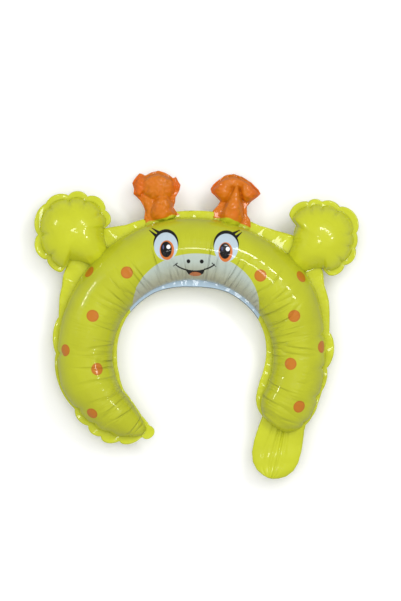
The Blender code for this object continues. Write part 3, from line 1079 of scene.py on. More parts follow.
@dataclass
class Hoop:
    """The open hoop that goes round the head: a filled tube and the sealed film along it.

    Attributes:
        slack_inner: How much too long the film is on the tube's inner side, as a share.
        slack_outer: The same at its outer side, and slack_crown all over it.
        slack_end_share: The share of all three that is left at the hoop's ends.
        fade_first_deg: How far from the left leg's tip the film is less slack.
        roughness: How uneven the film is before it folds, in metres.
        scallops: The outer seam's scallops, from one angle to another, with a height in millimetres.
        outer_reach: The outer seam's notches: angles, and millimetres from the hoop's centre.
        inner_width: The inner seam's width at some angles, in millimetres.
        pinch: How much the tube is drawn in at some angles, in millimetres.
        seam_waves: The seams' ripples, each with its waves in a radian, its phase and its height.
    """

    finish: PrintedFilm
    stations: int = 481
    sides: int = 72
    first_deg: float = LINE.leg_tip_deg + 0.3
    last_deg: float = LINE.end_deg - 0.15
    tip_centre: tuple[float, float] = (-0.0478, -0.0816)
    tip_radius: float = 0.0076
    tip_uneven: float = 0.04
    tip_wave: float = 0.0007
    tip_lift: float = 0.0003
    slack_inner: float = 0.11
    slack_outer: float = 0.06
    slack_crown: float = 0.006
    inner_middle: float = 0.69
    inner_spread: float = 0.34
    outer_start: float = 0.70
    outer_span: float = 0.30
    outer_power: float = 1.5
    slack_end_share: float = 0.25
    notch_deg: float = 1.6
    notch_depth: float = 0.0026
    least_radius: float = 0.6
    thick_leg: float = 0.007
    pinch_end_deg: float = -146.0
    fade_first_deg: float = 22.0
    fade_last_deg: float = 12.0
    held_deg: float = 0.9
    roughness: float = 0.0006
    rough_blurs: int = 2
    film_seed: int = 4
    seam_columns: int = 620
    seam_least: float = 0.0014
    seam_hidden: float = 0.007
    hidden_share: float = 0.6
    lobe_lift: float = 0.25
    lobe_curl: float = 0.002
    ripple_lift: float = 0.035
    seam_waves: tuple[tuple[float, float, float], ...] = ((41.0, 0.0, 1.0), (73.0, 1.0, 0.6))
    scallops: tuple[tuple[float, float, float], ...] = (
        (-148.0, -139.7, 5.8), (-139.7, -131.6, 6.3), (-131.6, -124.0, 4.4), (-124.0, -114.5, 4.7),
        (-114.5, -89.0, 5.0), (-89.0, -74.0, 3.8), (80.5, 95.3, 5.5), (95.3, 108.2, 3.9),
        (108.2, 120.2, 4.9), (120.2, 126.0, 2.3),
    )
    outer_reach: tuple[tuple[float, float], ...] = (
        (-148.5, 103.0), (-148.0, 104.6), (-139.7, 119.0), (-131.6, 129.5), (-124.0, 133.4),
        (-114.5, 137.0), (-89.0, 145.2), (-74.0, 148.4), (-70.0, 151.4), (-66.0, 155.2), (-62.0, 157.8),
        (-58.0, 162.5), (-50.0, 168.0), (-43.0, 170.0), (-36.0, 167.0), (-30.4, 160.4), (-26.9, 156.8),
        (-19.4, 154.9), (0.0, 155.2), (15.0, 156.2), (27.7, 157.0), (34.0, 161.4), (40.0, 168.0),
        (50.0, 172.0), (57.0, 167.0), (62.0, 160.4), (68.0, 158.1), (72.0, 154.9), (76.0, 151.9),
        (80.5, 149.2), (95.3, 144.5), (108.2, 140.5), (120.2, 140.0), (126.0, 143.7), (131.0, 130.0),
    )
    inner_width: tuple[tuple[float, float], ...] = (
        (-148.5, 7.4), (-146.0, 5.6), (-140.0, 2.2), (-130.0, 1.6), (-118.0, 1.8), (-105.0, 3.6),
        (-90.0, 4.2), (-60.0, 2.6), (-30.0, 3.8), (-10.0, 6.8), (0.0, 7.8), (10.0, 7.2), (30.0, 4.6),
        (60.0, 4.0), (75.0, 5.0), (90.0, 6.6), (100.0, 7.8), (110.0, 8.6), (120.0, 6.6), (126.0, 8.0),
        (131.0, 11.0),
    )
    pinch: tuple[tuple[float, float], ...] = (
        (-139.0, 0.4), (-130.0, 0.8), (-124.0, 1.3), (-116.0, 2.6), (-110.0, 1.6), (-103.0, 0.0),
    )

    def _lobe(self, angle: np.ndarray) -> np.ndarray:
        """How far the outer seam's scallops stand out at these angles, in metres.

        Args:
            angle: Degrees from the top of the head.

        Returns:
            The heights.
        """
        total = np.zeros_like(angle)
        for start, end, height in self.scallops:
            total += scallop(angle, start, end, height)
        return total

    def _notch(self, angle: np.ndarray) -> np.ndarray:
        """1 in the notches between the scallops, falling to 0 a few degrees away from them.

        Args:
            angle: Degrees from the top of the head.

        Returns:
            A number from 0 to 1 for each angle.
        """
        marks = np.array([start for start, _, _ in self.scallops])
        gap = np.min(np.abs(angle[:, None] - marks[None]), axis=1)
        return np.exp(-((gap / self.notch_deg) ** 2))

    def _radius(self, angle: np.ndarray) -> np.ndarray:
        """The tube's radius, drawn in a little where the left leg starts to narrow.

        Args:
            angle: Degrees from the top of the head.

        Returns:
            The radius at each angle, in metres.
        """
        radius = LINE.tube_radius(angle)
        drawn = between(angle, self.pinch) * MM * (angle > self.pinch_end_deg)
        return np.maximum(radius - drawn, self.least_radius * radius)

    def _tube(self) -> bmesh.types.BMesh:
        """The tube's closed mesh: a circle, spun round the hoop and closed at both ends.

        Returns:
            The mesh, with a ring of points at each station.
        """
        body = bmesh.new()
        bmesh.ops.create_circle(body, segments=self.sides, radius=LINE.tube_left)
        stand = Matrix(((0, 0, 1, 0), (1, 0, 0, LINE.radius), (0, 1, 0, 0), (0, 0, 0, 1)))
        turn = Matrix.Rotation(-math.radians(self.first_deg), 4, "Z")
        bmesh.ops.transform(body, matrix=turn @ stand, verts=body.verts)
        span = math.radians(self.last_deg - self.first_deg)
        bmesh.ops.spin(
            body,
            geom=body.verts[:] + body.edges[:],
            cent=(0.0, 0.0, 0.0),
            axis=(0.0, 0.0, -1.0),
            angle=span,
            steps=self.stations - 1,
        )
        ends = [edge for edge in body.edges if edge.is_boundary]
        bmesh.ops.holes_fill(body, edges=ends, sides=0)
        bmesh.ops.recalc_face_normals(body, faces=body.faces)
        return body

    def film(self) -> bpy.types.Object:
        """The filled tube, with its folds.

        Returns:
            The finished piece.
        """
        body = self._tube()
        spun = coordinates(body)
        angle = np.degrees(np.arctan2(spun[:, 0], spun[:, 1]))
        reach = np.hypot(spun[:, 0], spun[:, 1])
        turn = np.arctan2(spun[:, 2], LINE.radius - reach)
        radius = self._radius(angle)
        outward = np.clip(-np.cos(turn), 0.0, 1.0)
        radius = radius - self.notch_depth * self._notch(angle) * outward**6 * (radius > self.thick_leg)
        middle = LINE.middle_radius(angle)
        smooth = LINE.place(angle, middle - radius * np.cos(turn), radius * np.sin(turn))
        move_to(body, smooth)
        front = body.verts.layers.float.new("front")
        printed = body.verts.layers.float_vector.new("printed")
        for vertex, height, point in zip(body.verts, np.sin(turn), smooth):
            vertex[front] = float(height)
            vertex[printed] = Vector(point)
        self._fold(body, angle, turn)
        rest = coordinates(body)
        rest[:, 2] = np.maximum(rest[:, 2], 0.0)
        move_to(body, rest)
        return finished("hoop_film", body, self.finish.face())

    def _fold(self, body: bmesh.types.BMesh, angle: np.ndarray, turn: np.ndarray) -> None:
        """Fills the film, which folds across the tube where it has too much length.

        Args:
            body: The tube's mesh, in its smooth shape.
            angle: Each point's place round the hoop, in degrees.
            turn: Each point's place round the tube, in radians from its inner side.
        """
        heading = np.radians(angle)
        grain = np.stack([np.cos(heading), -np.sin(heading), np.zeros_like(heading)], axis=-1)
        inwardness = np.cos(turn)
        slack = self.slack_inner * np.exp(-(((inwardness - self.inner_middle) / self.inner_spread) ** 2))
        outer = np.clip((-inwardness - self.outer_start) / self.outer_span, 0.0, 1.0)
        slack += self.slack_outer * outer**self.outer_power
        slack += self.slack_crown
        fade = ease((angle - self.first_deg) / self.fade_first_deg)
        fade = fade * ease((self.last_deg - angle) / self.fade_last_deg)
        slack *= self.slack_end_share + (1.0 - self.slack_end_share) * fade
        ends = (angle < self.first_deg + self.held_deg) | (angle > self.last_deg - self.held_deg)
        held = (np.abs(np.sin(turn)) < ON_SEAM) | ends
        Film(body, grain, slack, held, self._rough(angle, turn)).fill()

    def _rough(self, angle: np.ndarray, turn: np.ndarray) -> np.ndarray:
        """A small unevenness that runs a little way round the tube, from which its folds grow.

        Args:
            angle: Each point's place round the hoop, in degrees.
            turn: Each point's place round the tube, in radians from its inner side.

        Returns:
            A small length for each point, in metres.
        """
        share = (angle - self.first_deg) / (self.last_deg - self.first_deg)
        column = np.clip(np.rint(share * (self.stations - 1)).astype(int), 0, self.stations - 1)
        row = np.rint(turn / (2.0 * math.pi) * self.sides).astype(int) % self.sides
        rng = np.random.default_rng(self.film_seed)
        rough = rng.normal(0.0, self.roughness, (self.stations, self.sides))
        for _ in range(self.rough_blurs):
            rough = (np.roll(rough, 1, 1) + rough + np.roll(rough, -1, 1)) / 3.0
        return rough[column, row]

    def seams(self) -> list[bpy.types.Object]:
        """The sealed film outside and inside the hoop, and at the tip of its left leg."""
        dress = self.finish.sealed()
        return [self._seam("outer_seam", 1, dress), self._seam("inner_seam", -1, dress), self._tip(dress)]

    def _tip(self, dress: bpy.types.Material) -> bpy.types.Object:
        """The round tab of sealed film at the tip of the left leg.

        Args:
            dress: Its material.

        Returns:
            The finished piece.
        """

        def place(along: np.ndarray, across: np.ndarray) -> np.ndarray:
            """Points for shares round the tab and out from its middle.

            Args:
                along: Shares along the sheet, from 0 to 1.
                across: Shares across the sheet, from 0 to 1.

            Returns:
                The points.
            """
            turn = 2.0 * math.pi * along
            out = self.tip_radius * across * (1.0 + self.tip_uneven * np.sin(3.0 * turn + 1.0))
            x, y = self.tip_centre[0] + out * np.cos(turn), self.tip_centre[1] + out * np.sin(turn)
            lift = self.tip_wave * np.sin(2.0 * turn) * across**2 + self.tip_lift
            seam = LINE.seam_height(np.array(LINE.leg_tip_deg)) + lift
            return np.stack([x + HOOP_CENTRE[0], y + HOOP_CENTRE[1], seam], axis=-1)

        return flat_sheet("tip_seam", 48, 8, place, SEAM_FILM, dress)

    def _seam(self, name: str, side: int, dress: bpy.types.Material) -> bpy.types.Object:
        """The sealed film along one side of the tube.

        Args:
            name: The piece's name.
            side: 1 outside the hoop and -1 inside.
            dress: Its material.

        Returns:
            The finished piece.
        """

        def place(along: np.ndarray, across: np.ndarray) -> np.ndarray:
            """Points for shares along the hoop and out from the tube.

            Args:
                along: Shares along the sheet, from 0 to 1.
                across: Shares across the sheet, from 0 to 1.

            Returns:
                The points.
            """
            angle = LINE.leg_tip_deg + along * (LINE.end_deg - LINE.leg_tip_deg)
            middle, radius = LINE.middle_radius(angle), self._radius(angle)
            if side > 0:
                lobe = self._lobe(angle)
                width = between(angle, self.outer_reach) * MM + lobe - middle - radius
            else:
                lobe = np.zeros_like(angle)
                width = between(angle, self.inner_width) * MM
            width = np.maximum(width, self.seam_least)
            hidden = np.minimum(self.seam_hidden, self.hidden_share * radius)
            out = side * (radius - hidden + across * (width + hidden))
            curl = np.clip(across * (width + hidden) - hidden, 0.0, None)
            turn = np.radians(angle)
            ripple = sum(height * np.sin(turn * waves + phase) for waves, phase, height in self.seam_waves)
            lift = curl * self.ripple_lift * ripple
            lift = lift + self.lobe_lift * across**2 * (lobe - self.lobe_curl * (lobe > 0.0))
            return LINE.place(angle, middle + out, lift)

        return flat_sheet(name, self.seam_columns, 8, place, SEAM_FILM, dress)


@dataclass
class Ear:
    """A round ear on a short neck, with a scalloped seam round it.

    Attributes:
        rim: The seam's notches, each with its direction in degrees from +X, its distance from the
            ear's middle and the height of the scallop that follows it, both in millimetres.
        fullness: Half the cushion's thickness, as a share of its radius.
        profile: How square the cushion is from the side, where 2 is round.
        neck_reach: How much further the cushion goes in its neck, as a share.
        neck_spread: Half the neck's width, in radians.
        slack_rim: How much too long the film is round the rim, as a share.
        slack_neck: The same in the neck, and slack_whole all over the ear.
        roughness: The height of the folds that the film starts from, in metres.
        grit: How uneven each point is besides, in metres.
    """

    hand: Hand
    finish: PrintedFilm
    angle_deg: float
    gap: float
    rim: tuple[tuple[float, float, float], ...]
    radius: float = 0.0338
    fullness: float = 0.599
    profile: float = 2.2
    body_share: float = 0.90
    least_share: float = 0.92
    neck_reach: float = 0.50
    neck_spread: float = 0.34
    root_spread: float = 1.6
    notch_deg: float = 4.0
    notch_cut: float = 0.035
    notch_drop: float = 0.08
    lobe_share: float = 0.45
    lobe_lift: float = 0.50
    seam_start: float = 0.66
    seam_drop: float = 0.0008
    seam_wave: float = 0.0004
    columns: int = 144
    rings: int = 44
    slack_rim: float = 0.10
    slack_neck: float = 0.08
    slack_neck_spread: float = 0.5
    slack_whole: float = 0.004
    roughness: float = 0.0006
    grit: float = 0.0001
    held_spread: float = 0.25
    held_reach: float = 0.9
    steps: int = 110
    film_seed: int = 1

    @property
    def name(self) -> str:
        """The first part of the names of the ear's pieces."""
        return f"{self.hand.name.lower()}_ear"

    @property
    def centre(self) -> np.ndarray:
        """The ear's middle, in the frame's axes.

        Returns:
            The point, in metres.
        """
        angle = np.array(self.angle_deg)
        reach = LINE.radius + LINE.side_radius(angle) - LINE.shoulder(angle) + self.gap + self.radius
        return LINE.place(angle, reach, np.array(0.0))

    def _off_root(self, turn: np.ndarray) -> np.ndarray:
        """How far a direction from the ear's middle is from its neck's direction, in radians."""
        root = math.radians(-90.0 - self.angle_deg)
        return (turn - root + math.pi) % (2.0 * math.pi) - math.pi

    def _edge(self, turn: np.ndarray) -> tuple[np.ndarray, np.ndarray, np.ndarray]:
        """The cut edge in these directions.

        Args:
            turn: Directions from the ear's middle, in radians from +X.

        Returns:
            The reach of the notches, the height of the scallops over it, and 1 in each notch.
        """
        first = self.rim[0][0]
        degrees = (np.degrees(turn) - first) % 360.0 + first
        marks = [row[0] for row in self.rim] + [first + 360.0]
        reach = np.interp(degrees, marks, [row[1] for row in self.rim] + [self.rim[0][1]]) * MM
        lobe, notch = np.zeros_like(reach), np.zeros_like(reach)
        for (start, _, height), end in zip(self.rim, marks[1:]):
            lobe += scallop(degrees, start, end, height)
            notch += np.exp(-(((degrees - start) / self.notch_deg) ** 2)) * (height > 0.0)
        return reach, lobe, notch

    def film(self) -> bpy.types.Object:
        """The filled cushion, which narrows into its neck.

        Returns:
            The finished piece.
        """
        body = bmesh.new()
        bmesh.ops.create_uvsphere(body, u_segments=self.columns, v_segments=self.rings, radius=1.0)
        ball = coordinates(body)
        reach = np.minimum(np.hypot(ball[:, 0], ball[:, 1]), 1.0)
        turn = np.arctan2(ball[:, 1], ball[:, 0])
        height = np.maximum(1.0 - reach**self.profile, 0.0) ** (1.0 / self.profile)
        height[np.abs(ball[:, 2]) < ON_SEAM] = 0.0
        off = self._off_root(turn)
        edge, lobe, notch = self._edge(turn)
        at_root = np.exp(-((off / (self.root_spread * self.neck_spread)) ** 4))
        whole = np.maximum(self.body_share * edge, self.least_share * self.radius)
        whole = whole + self.lobe_share * lobe * reach**8
        rim = whole * (1.0 - at_root) + self.radius * at_root
        neck = self.neck_reach * np.exp(-((off / self.neck_spread) ** 2)) * reach**3
        out = rim * reach * (1.0 + neck) * (1.0 - self.notch_cut * notch * reach**5)
        lift = np.copysign(height, ball[:, 2]) * self.fullness * self.radius
        lift *= 1.0 - self.notch_drop * notch * reach**6
        smooth = np.stack([out * np.cos(turn), out * np.sin(turn), lift], axis=-1) + self.centre
        move_to(body, smooth)
        grain = np.stack([-np.sin(turn), np.cos(turn), np.zeros_like(turn)], axis=-1)
        slack = self.slack_whole + self.slack_rim * reach**5
        slack = slack + self.slack_neck * np.exp(-((off / self.slack_neck_spread) ** 2)) * reach**2
        held = (height == 0.0) | (np.abs(off) < self.held_spread) & (reach > self.held_reach)
        rng = np.random.default_rng(self.film_seed)
        folds = rng.normal(0.0, self.roughness, self.columns)
        column = np.rint(turn / (2.0 * math.pi) * self.columns).astype(int) % self.columns
        rough = folds[column] * reach**3 + rng.normal(0.0, self.grit, len(turn))
        Film(body, grain, slack, held, rough, steps=self.steps).fill()
        return finished(f"{self.name}_film", body, self.finish.plain(f"{self.name}_film"))

    def sealed(self) -> bpy.types.Object:
        """The scalloped ring of sealed film round the ear.

        Returns:
            The finished piece.
        """

        def place(along: np.ndarray, across: np.ndarray) -> np.ndarray:
            """Points for shares round the ear and out from under its cushion.

            Args:
                along: Shares along the sheet, from 0 to 1.
                across: Shares across the sheet, from 0 to 1.

            Returns:
                The points.
            """
            turn = 2.0 * math.pi * along
            edge, lobe, _ = self._edge(turn)
            inner = self.seam_start * edge
            out = inner + across * (edge + lobe - inner)
            wave = self.seam_wave * np.sin(turn * 9.0)
            lift = across**4 * (self.lobe_lift * lobe - self.seam_drop + wave)
            return np.stack([out * np.cos(turn), out * np.sin(turn), lift], axis=-1) + self.centre

        dress = self.finish.plain(f"{self.name}_seam")
        return flat_sheet(f"{self.name}_seam", 240, 8, place, SEAM_FILM, dress)


def two_layers(
    name: str,
    columns: int,
    rows: int,
    place: Callable[[np.ndarray, np.ndarray], tuple[np.ndarray, np.ndarray]],
    material: bpy.types.Material,
) -> bpy.types.Object:
    """Two sheets of film that are sealed at their edges, with air between them.

    Args:
        name: The piece's name.
        columns: How many faces it has across.
        rows: How many faces it has along its length.
        place: Gives, for shares across from -1 to 1 and along from 0 to 1, the points in the middle
            and how far the front stands over them.
        material: Its finish.

    Returns:
        The new object.
    """
    body = bmesh.new()
    bmesh.ops.create_grid(body, x_segments=columns, y_segments=rows, size=0.5)
    grid = coordinates(body)
    middle, lift = place(grid[:, 0] * 2.0, grid[:, 1] + 0.5)
    layers = bmesh.ops.duplicate(body, geom=body.verts[:] + body.edges[:] + body.faces[:])
    lower = [item for item in layers["geom"] if isinstance(item, bmesh.types.BMVert)]
    body.verts.index_update()
    height = np.zeros((len(body.verts), 3))
    points = np.zeros((len(body.verts), 3))
    points[: len(middle)], height[: len(middle), 2] = middle, lift
    rank = np.array([vertex.index for vertex in lower])
    points[rank], height[rank, 2] = middle, -lift
    move_to(body, points + height)
    bmesh.ops.bridge_loops(body, edges=[edge for edge in body.edges if edge.is_boundary])
    bmesh.ops.recalc_face_normals(body, faces=body.faces)
    return finished(name, body, material)


@dataclass(frozen=True)
class Puff:
    """A rounded swelling of film, measured in shares of a horn's half width and height.

    Attributes:
        x: Its middle across, from -1 to 1.
        y: Its middle along the horn, from 0 to 1.
        half_x: Half its width.
        half_y: Half its length.
        rise: How far it stands out, in millimetres.
        spread: How much wider it grows from its middle to its foot, as a share.
        lean: How far its middle line moves across for each share along.
        least_width: The least share of its width that spread leaves.
        square_x: How square it is across, where 2 is round.
        square_y: How square it is along.
    """

    x: float
    y: float
    half_x: float
    half_y: float
    rise: float
    spread: float = 0.0
    lean: float = 0.0
    least_width: float = 0.12
    square_x: float = 2.2
    square_y: float = 2.6

    def height(self, x: np.ndarray, y: np.ndarray) -> np.ndarray:
        """How far the swelling stands out at these places, in metres.

        Args:
            x: Shares of the half width.
            y: Shares of the height.

        Returns:
            The heights.
        """
        up = (y - self.y) / self.half_y
        wide = self.half_x * np.maximum(1.0 - self.spread * up, self.least_width)
        across = (x - self.x - self.lean * (y - self.y)) / wide
        inside = 1.0 - np.abs(across) ** self.square_x - np.abs(up) ** self.square_y
        inside = np.maximum(inside, 0.0)
        return self.rise * MM * np.sqrt(inside)


@dataclass
class Horn:
    """A short horn: crumpled film that widens from a neck to a knob.

    Attributes:
        rows: From the neck up, the share of the height, and the left and the right edge in
            millimetres from the horn's x.
        top: From left to right, the share across from -1 to 1, and the height in millimetres.
        puffs: The swellings that its film is drawn into.
        film_size: The filled film's width as a share of the sealed film's.
        inset: How far below the top the filled film ends, in millimetres for a whole share of width.
        hidden_share: How far the film goes on inside the hoop, as a share of the horn's height.
        crease_waves: The least and the most radians in a metre between creases.
        puff_blend: How sharply the swellings meet.
    """

    hand: Hand
    finish: PrintedFilm
    x: float
    half_width: float
    rows: tuple[tuple[float, float, float], ...]
    top: tuple[tuple[float, float], ...]
    puffs: tuple[Puff, ...]
    seed: int = 1
    film_size: float = 0.93
    inset: float = 30.0
    hidden_share: float = 0.20
    seam_hidden: float = 0.08
    puff_blend: int = 6
    root_lift: float = 0.0025
    root_share: float = 0.16
    root_fade: float = 0.2
    top_fade: float = 0.07
    least_lift: float = 0.0002
    crease_depth: float = 0.0042
    crease_middle: float = 0.3
    crease_count: int = 7
    crease_waves: tuple[float, float] = (260.0, 520.0)
    crease_bend: float = 0.004
    bend_waves: float = 90.0
    crease_level: float = 0.64
    most_phase: float = 6.0
    edge_wave: float = 0.0012

    @property
    def name(self) -> str:
        """The first part of the names of the horn's pieces."""
        return f"{self.hand.name.lower()}_horn"

    @property
    def base(self) -> float:
        """How high above the hoop's centre the horn leaves the hoop."""
        crown = LINE.radius + LINE.tube_top
        return math.sqrt(crown**2 - self.x**2)

    def _spot(self, share: np.ndarray, side: np.ndarray, size: float) -> tuple[np.ndarray, np.ndarray]:
        """A place on the horn's outline or within it.

        Args:
            share: Shares of the height.
            side: Shares across, from -1 at the left edge to 1 at the right.
            size: 1 for the cut edge, and less for an outline inside it.

        Returns:
            The x from the horn's own and the y from its base, in metres.
        """
        marks, lefts, rights = zip(*self.rows)
        left, right = np.interp(share, marks, lefts), np.interp(share, marks, rights)
        across = 0.5 * (left + right) + 0.5 * size * side * (right - left)
        height = between(side, self.top) - (1.0 - size) * self.inset * ease(share)
        return across * MM, share * height * MM

    def _points(self, x: np.ndarray, y: np.ndarray, lift: np.ndarray) -> np.ndarray:
        """Points from places in the hoop's plane and heights over the seam."""
        seam = LINE.seam_height(np.degrees(np.arctan2(x, y)))
        return np.stack([x + HOOP_CENTRE[0], y + HOOP_CENTRE[1], seam + lift], axis=-1)

    def _creases(self, x: np.ndarray, y: np.ndarray) -> np.ndarray:
        """Sharp creases that cross one another, as in crumpled film, from -1 to 1.

        Args:
            x: Metres across from the horn's middle.
            y: Metres up from its base.

        Returns:
            The creases' strength at each place.
        """
        rng = np.random.default_rng(self.seed)
        total = np.zeros_like(x)
        for _ in range(self.crease_count):
            heading = rng.uniform(0.0, math.pi)
            wave = rng.uniform(*self.crease_waves)
            along = x * math.cos(heading) + y * math.sin(heading)
            aside = x * math.sin(heading) - y * math.cos(heading)
            bend = self.crease_bend * np.sin(self.bend_waves * aside + rng.uniform(0.0, self.most_phase))
            crease = np.abs(np.sin(wave * (along + bend) + rng.uniform(0.0, self.most_phase)))
            total += crease - self.crease_level
        return total / self.crease_count

    def film(self) -> bpy.types.Object:
        """The knob and its neck.

        Returns:
            The finished piece.
        """

        def place(side: np.ndarray, along: np.ndarray) -> tuple[np.ndarray, np.ndarray]:
            """Points in the middle and heights of the front for shares across and along.

            Args:
                side: Shares across, from -1 to 1.
                along: Shares along the sheet, from 0 to 1.

            Returns:
                The points, and how far the front stands over them.
            """
            share = -self.hidden_share + (1.0 + self.hidden_share) * along
            x, y = self._spot(share, side, self.film_size)
            across = x / self.half_width
            up = y / (MM * max(height for _, height in self.top))
            total = sum(puff.height(across, up) ** self.puff_blend for puff in self.puffs)
            total = total ** (1.0 / self.puff_blend)
            root = self.root_lift * ease((self.root_share - share) / self.root_fade)
            fall = np.sqrt(1.0 - np.abs(side) ** 4) * np.sqrt(ease((1.0 - along) / self.top_fade))
            crease = self.crease_depth * self._creases(x, y) * (self.crease_middle + np.abs(across))
            lift = np.maximum(total, root) + crease
            x, y = x + self.x, y + self.base
            return self._points(x, y, np.zeros_like(x)), np.maximum(lift * fall, self.least_lift)

        return two_layers(f"{self.name}_film", 72, 90, place, self.finish.horn(f"{self.name}_film", self.x))

    def sealed(self) -> bpy.types.Object:
        """The flat sealed film round the horn, uneven at its edge.

        Returns:
            The finished piece.
        """
        rng = np.random.default_rng(self.seed + 40)
        phases = rng.uniform(0.0, 2.0 * math.pi, 4)

        def place(along: np.ndarray, across: np.ndarray) -> np.ndarray:
            """Points for shares up the horn and across it.

            Args:
                along: Shares along the sheet, from 0 to 1.
                across: Shares across the sheet, from 0 to 1.

            Returns:
                The points.
            """
            share = -self.seam_hidden + (1.0 + self.seam_hidden) * along
            side = 2.0 * across - 1.0
            x, y = self._spot(share, side, 1.0)
            wave = self.edge_wave * np.sin(along * 26.0 + phases[2] + side) * side**4
            wave += self.edge_wave * np.sin(side * 11.0 + phases[3]) * along**6
            return self._points(self.x + x, self.base + y, wave)

        dress = self.finish.horn(f"{self.name}_seam", self.x)
        return flat_sheet(f"{self.name}_seam", 60, 24, place, SEAM_FILM, dress)


@dataclass
class Tail:
    """The strap that the balloon is filled through: nearly flat film, creased from its neck.

    Attributes:
        lean_deg: How far its end leans to the left of straight down.
        rows: Shares of its length, and of its half width there.
        creases: The creases from its neck, each with its place across, its depth and its width.
        fan: How far apart the creases are at the neck, and how much further for a whole length.
        ruck_at: Where along it the film is rucked across, as a share of its length.
    """

    finish: PrintedFilm
    length: float = 0.0825
    half_width: float = 0.0260
    half_thickness: float = 0.0034
    lean_deg: float = 13.0
    fullness: float = 0.75
    least_lift: float = 0.0003
    neck_fullness: float = 0.55
    neck_at: float = 0.22
    neck_spread: float = 0.30
    crease_depth: float = 0.68
    crease_least: float = 0.4
    fan: tuple[float, float] = (0.6, 0.8)
    ruck_at: float = 0.86
    ruck_spread: float = 0.14
    ruck_height: float = 0.5
    ruck_share: float = 0.3
    wave: float = 0.0008
    wave_start: float = 0.3
    rows: tuple[tuple[float, float], ...] = (
        (0.00, 0.70), (0.20, 0.88), (0.36, 0.95), (0.55, 1.00), (0.72, 0.98), (0.84, 0.86), (0.93, 0.62),
        (0.98, 0.33), (1.00, 0.12),
    )
    creases: tuple[tuple[float, float, float], ...] = (
        (-0.12, 0.9, 0.06), (0.10, 1.2, 0.05), (0.30, 0.6, 0.07), (-0.42, 0.5, 0.08),
    )

    def film(self) -> bpy.types.Object:
        """The strap, closed at its round end.

        Returns:
            The finished piece.
        """
        root = LINE.place(np.array(LINE.right_end_deg), np.array(LINE.radius), np.array(0.0))
        lean = math.radians(self.lean_deg)
        down = np.array([-math.sin(lean), -math.cos(lean), 0.0])
        right = np.array([math.cos(lean), -math.sin(lean), 0.0])

        def place(side: np.ndarray, along: np.ndarray) -> tuple[np.ndarray, np.ndarray]:
            """Points in the middle and heights of the front for shares across and along.

            Args:
                side: Shares across, from -1 to 1.
                along: Shares along the sheet, from 0 to 1.

            Returns:
                The points, and how far the front stands over them.
            """
            width = between(along, self.rows) * self.half_width
            swell = np.sqrt(np.clip(1.0 - np.abs(side) ** 3, 0.0, 1.0))
            neck = np.exp(-(((along - self.neck_at) / self.neck_spread) ** 2))
            crease = np.zeros_like(side)
            for where, depth, wide in self.creases:
                path = where * (self.fan[0] + self.fan[1] * along)
                crease += depth * np.exp(-(((side - path) / wide) ** 2))
            near = np.exp(-(((along - self.ruck_at) / self.ruck_spread) ** 2))
            ruck = self.ruck_height * np.sin(along * 21.0 + side * 3.0) * near
            full = self.fullness + self.neck_fullness * neck
            drawn = self.crease_depth * crease * (self.crease_least + neck)
            lift = swell * (full - drawn + self.ruck_share * ruck)
            flat = root + np.outer(along * self.length, down) + (side * width)[:, None] * right
            free = ease((along - self.wave_start) / self.wave_start)
            flat[:, 2] += self.wave * np.sin(along * 9.0 + side * 2.0) * free
            return flat, np.maximum(self.half_thickness * lift, self.least_lift)

        return two_layers("tail_film", 72, 110, place, self.finish.plain("tail_film"))


# The studio


@dataclass
class Softbox:
    """A flat square or oblong light."""

    name: str
    place: tuple[float, float, float]
    size: tuple[float, float]
    power: float
    mirrored: bool = True

    def light(self) -> None:
        """Hangs the light, facing the balloon, with its first side level."""
        lamp = bpy.data.lights.new(self.name, "AREA")
        lamp.shape = "RECTANGLE"
        lamp.size, lamp.size_y = self.size
        lamp.energy = self.power
        light = bpy.data.objects.new(self.name, lamp)
        light.location = self.place
        light.rotation_euler = Vector(self.place).to_track_quat("Z", "Y").to_euler()
        light.visible_glossy = self.mirrored
        light.visible_camera = False
        bpy.context.scene.collection.objects.link(light)


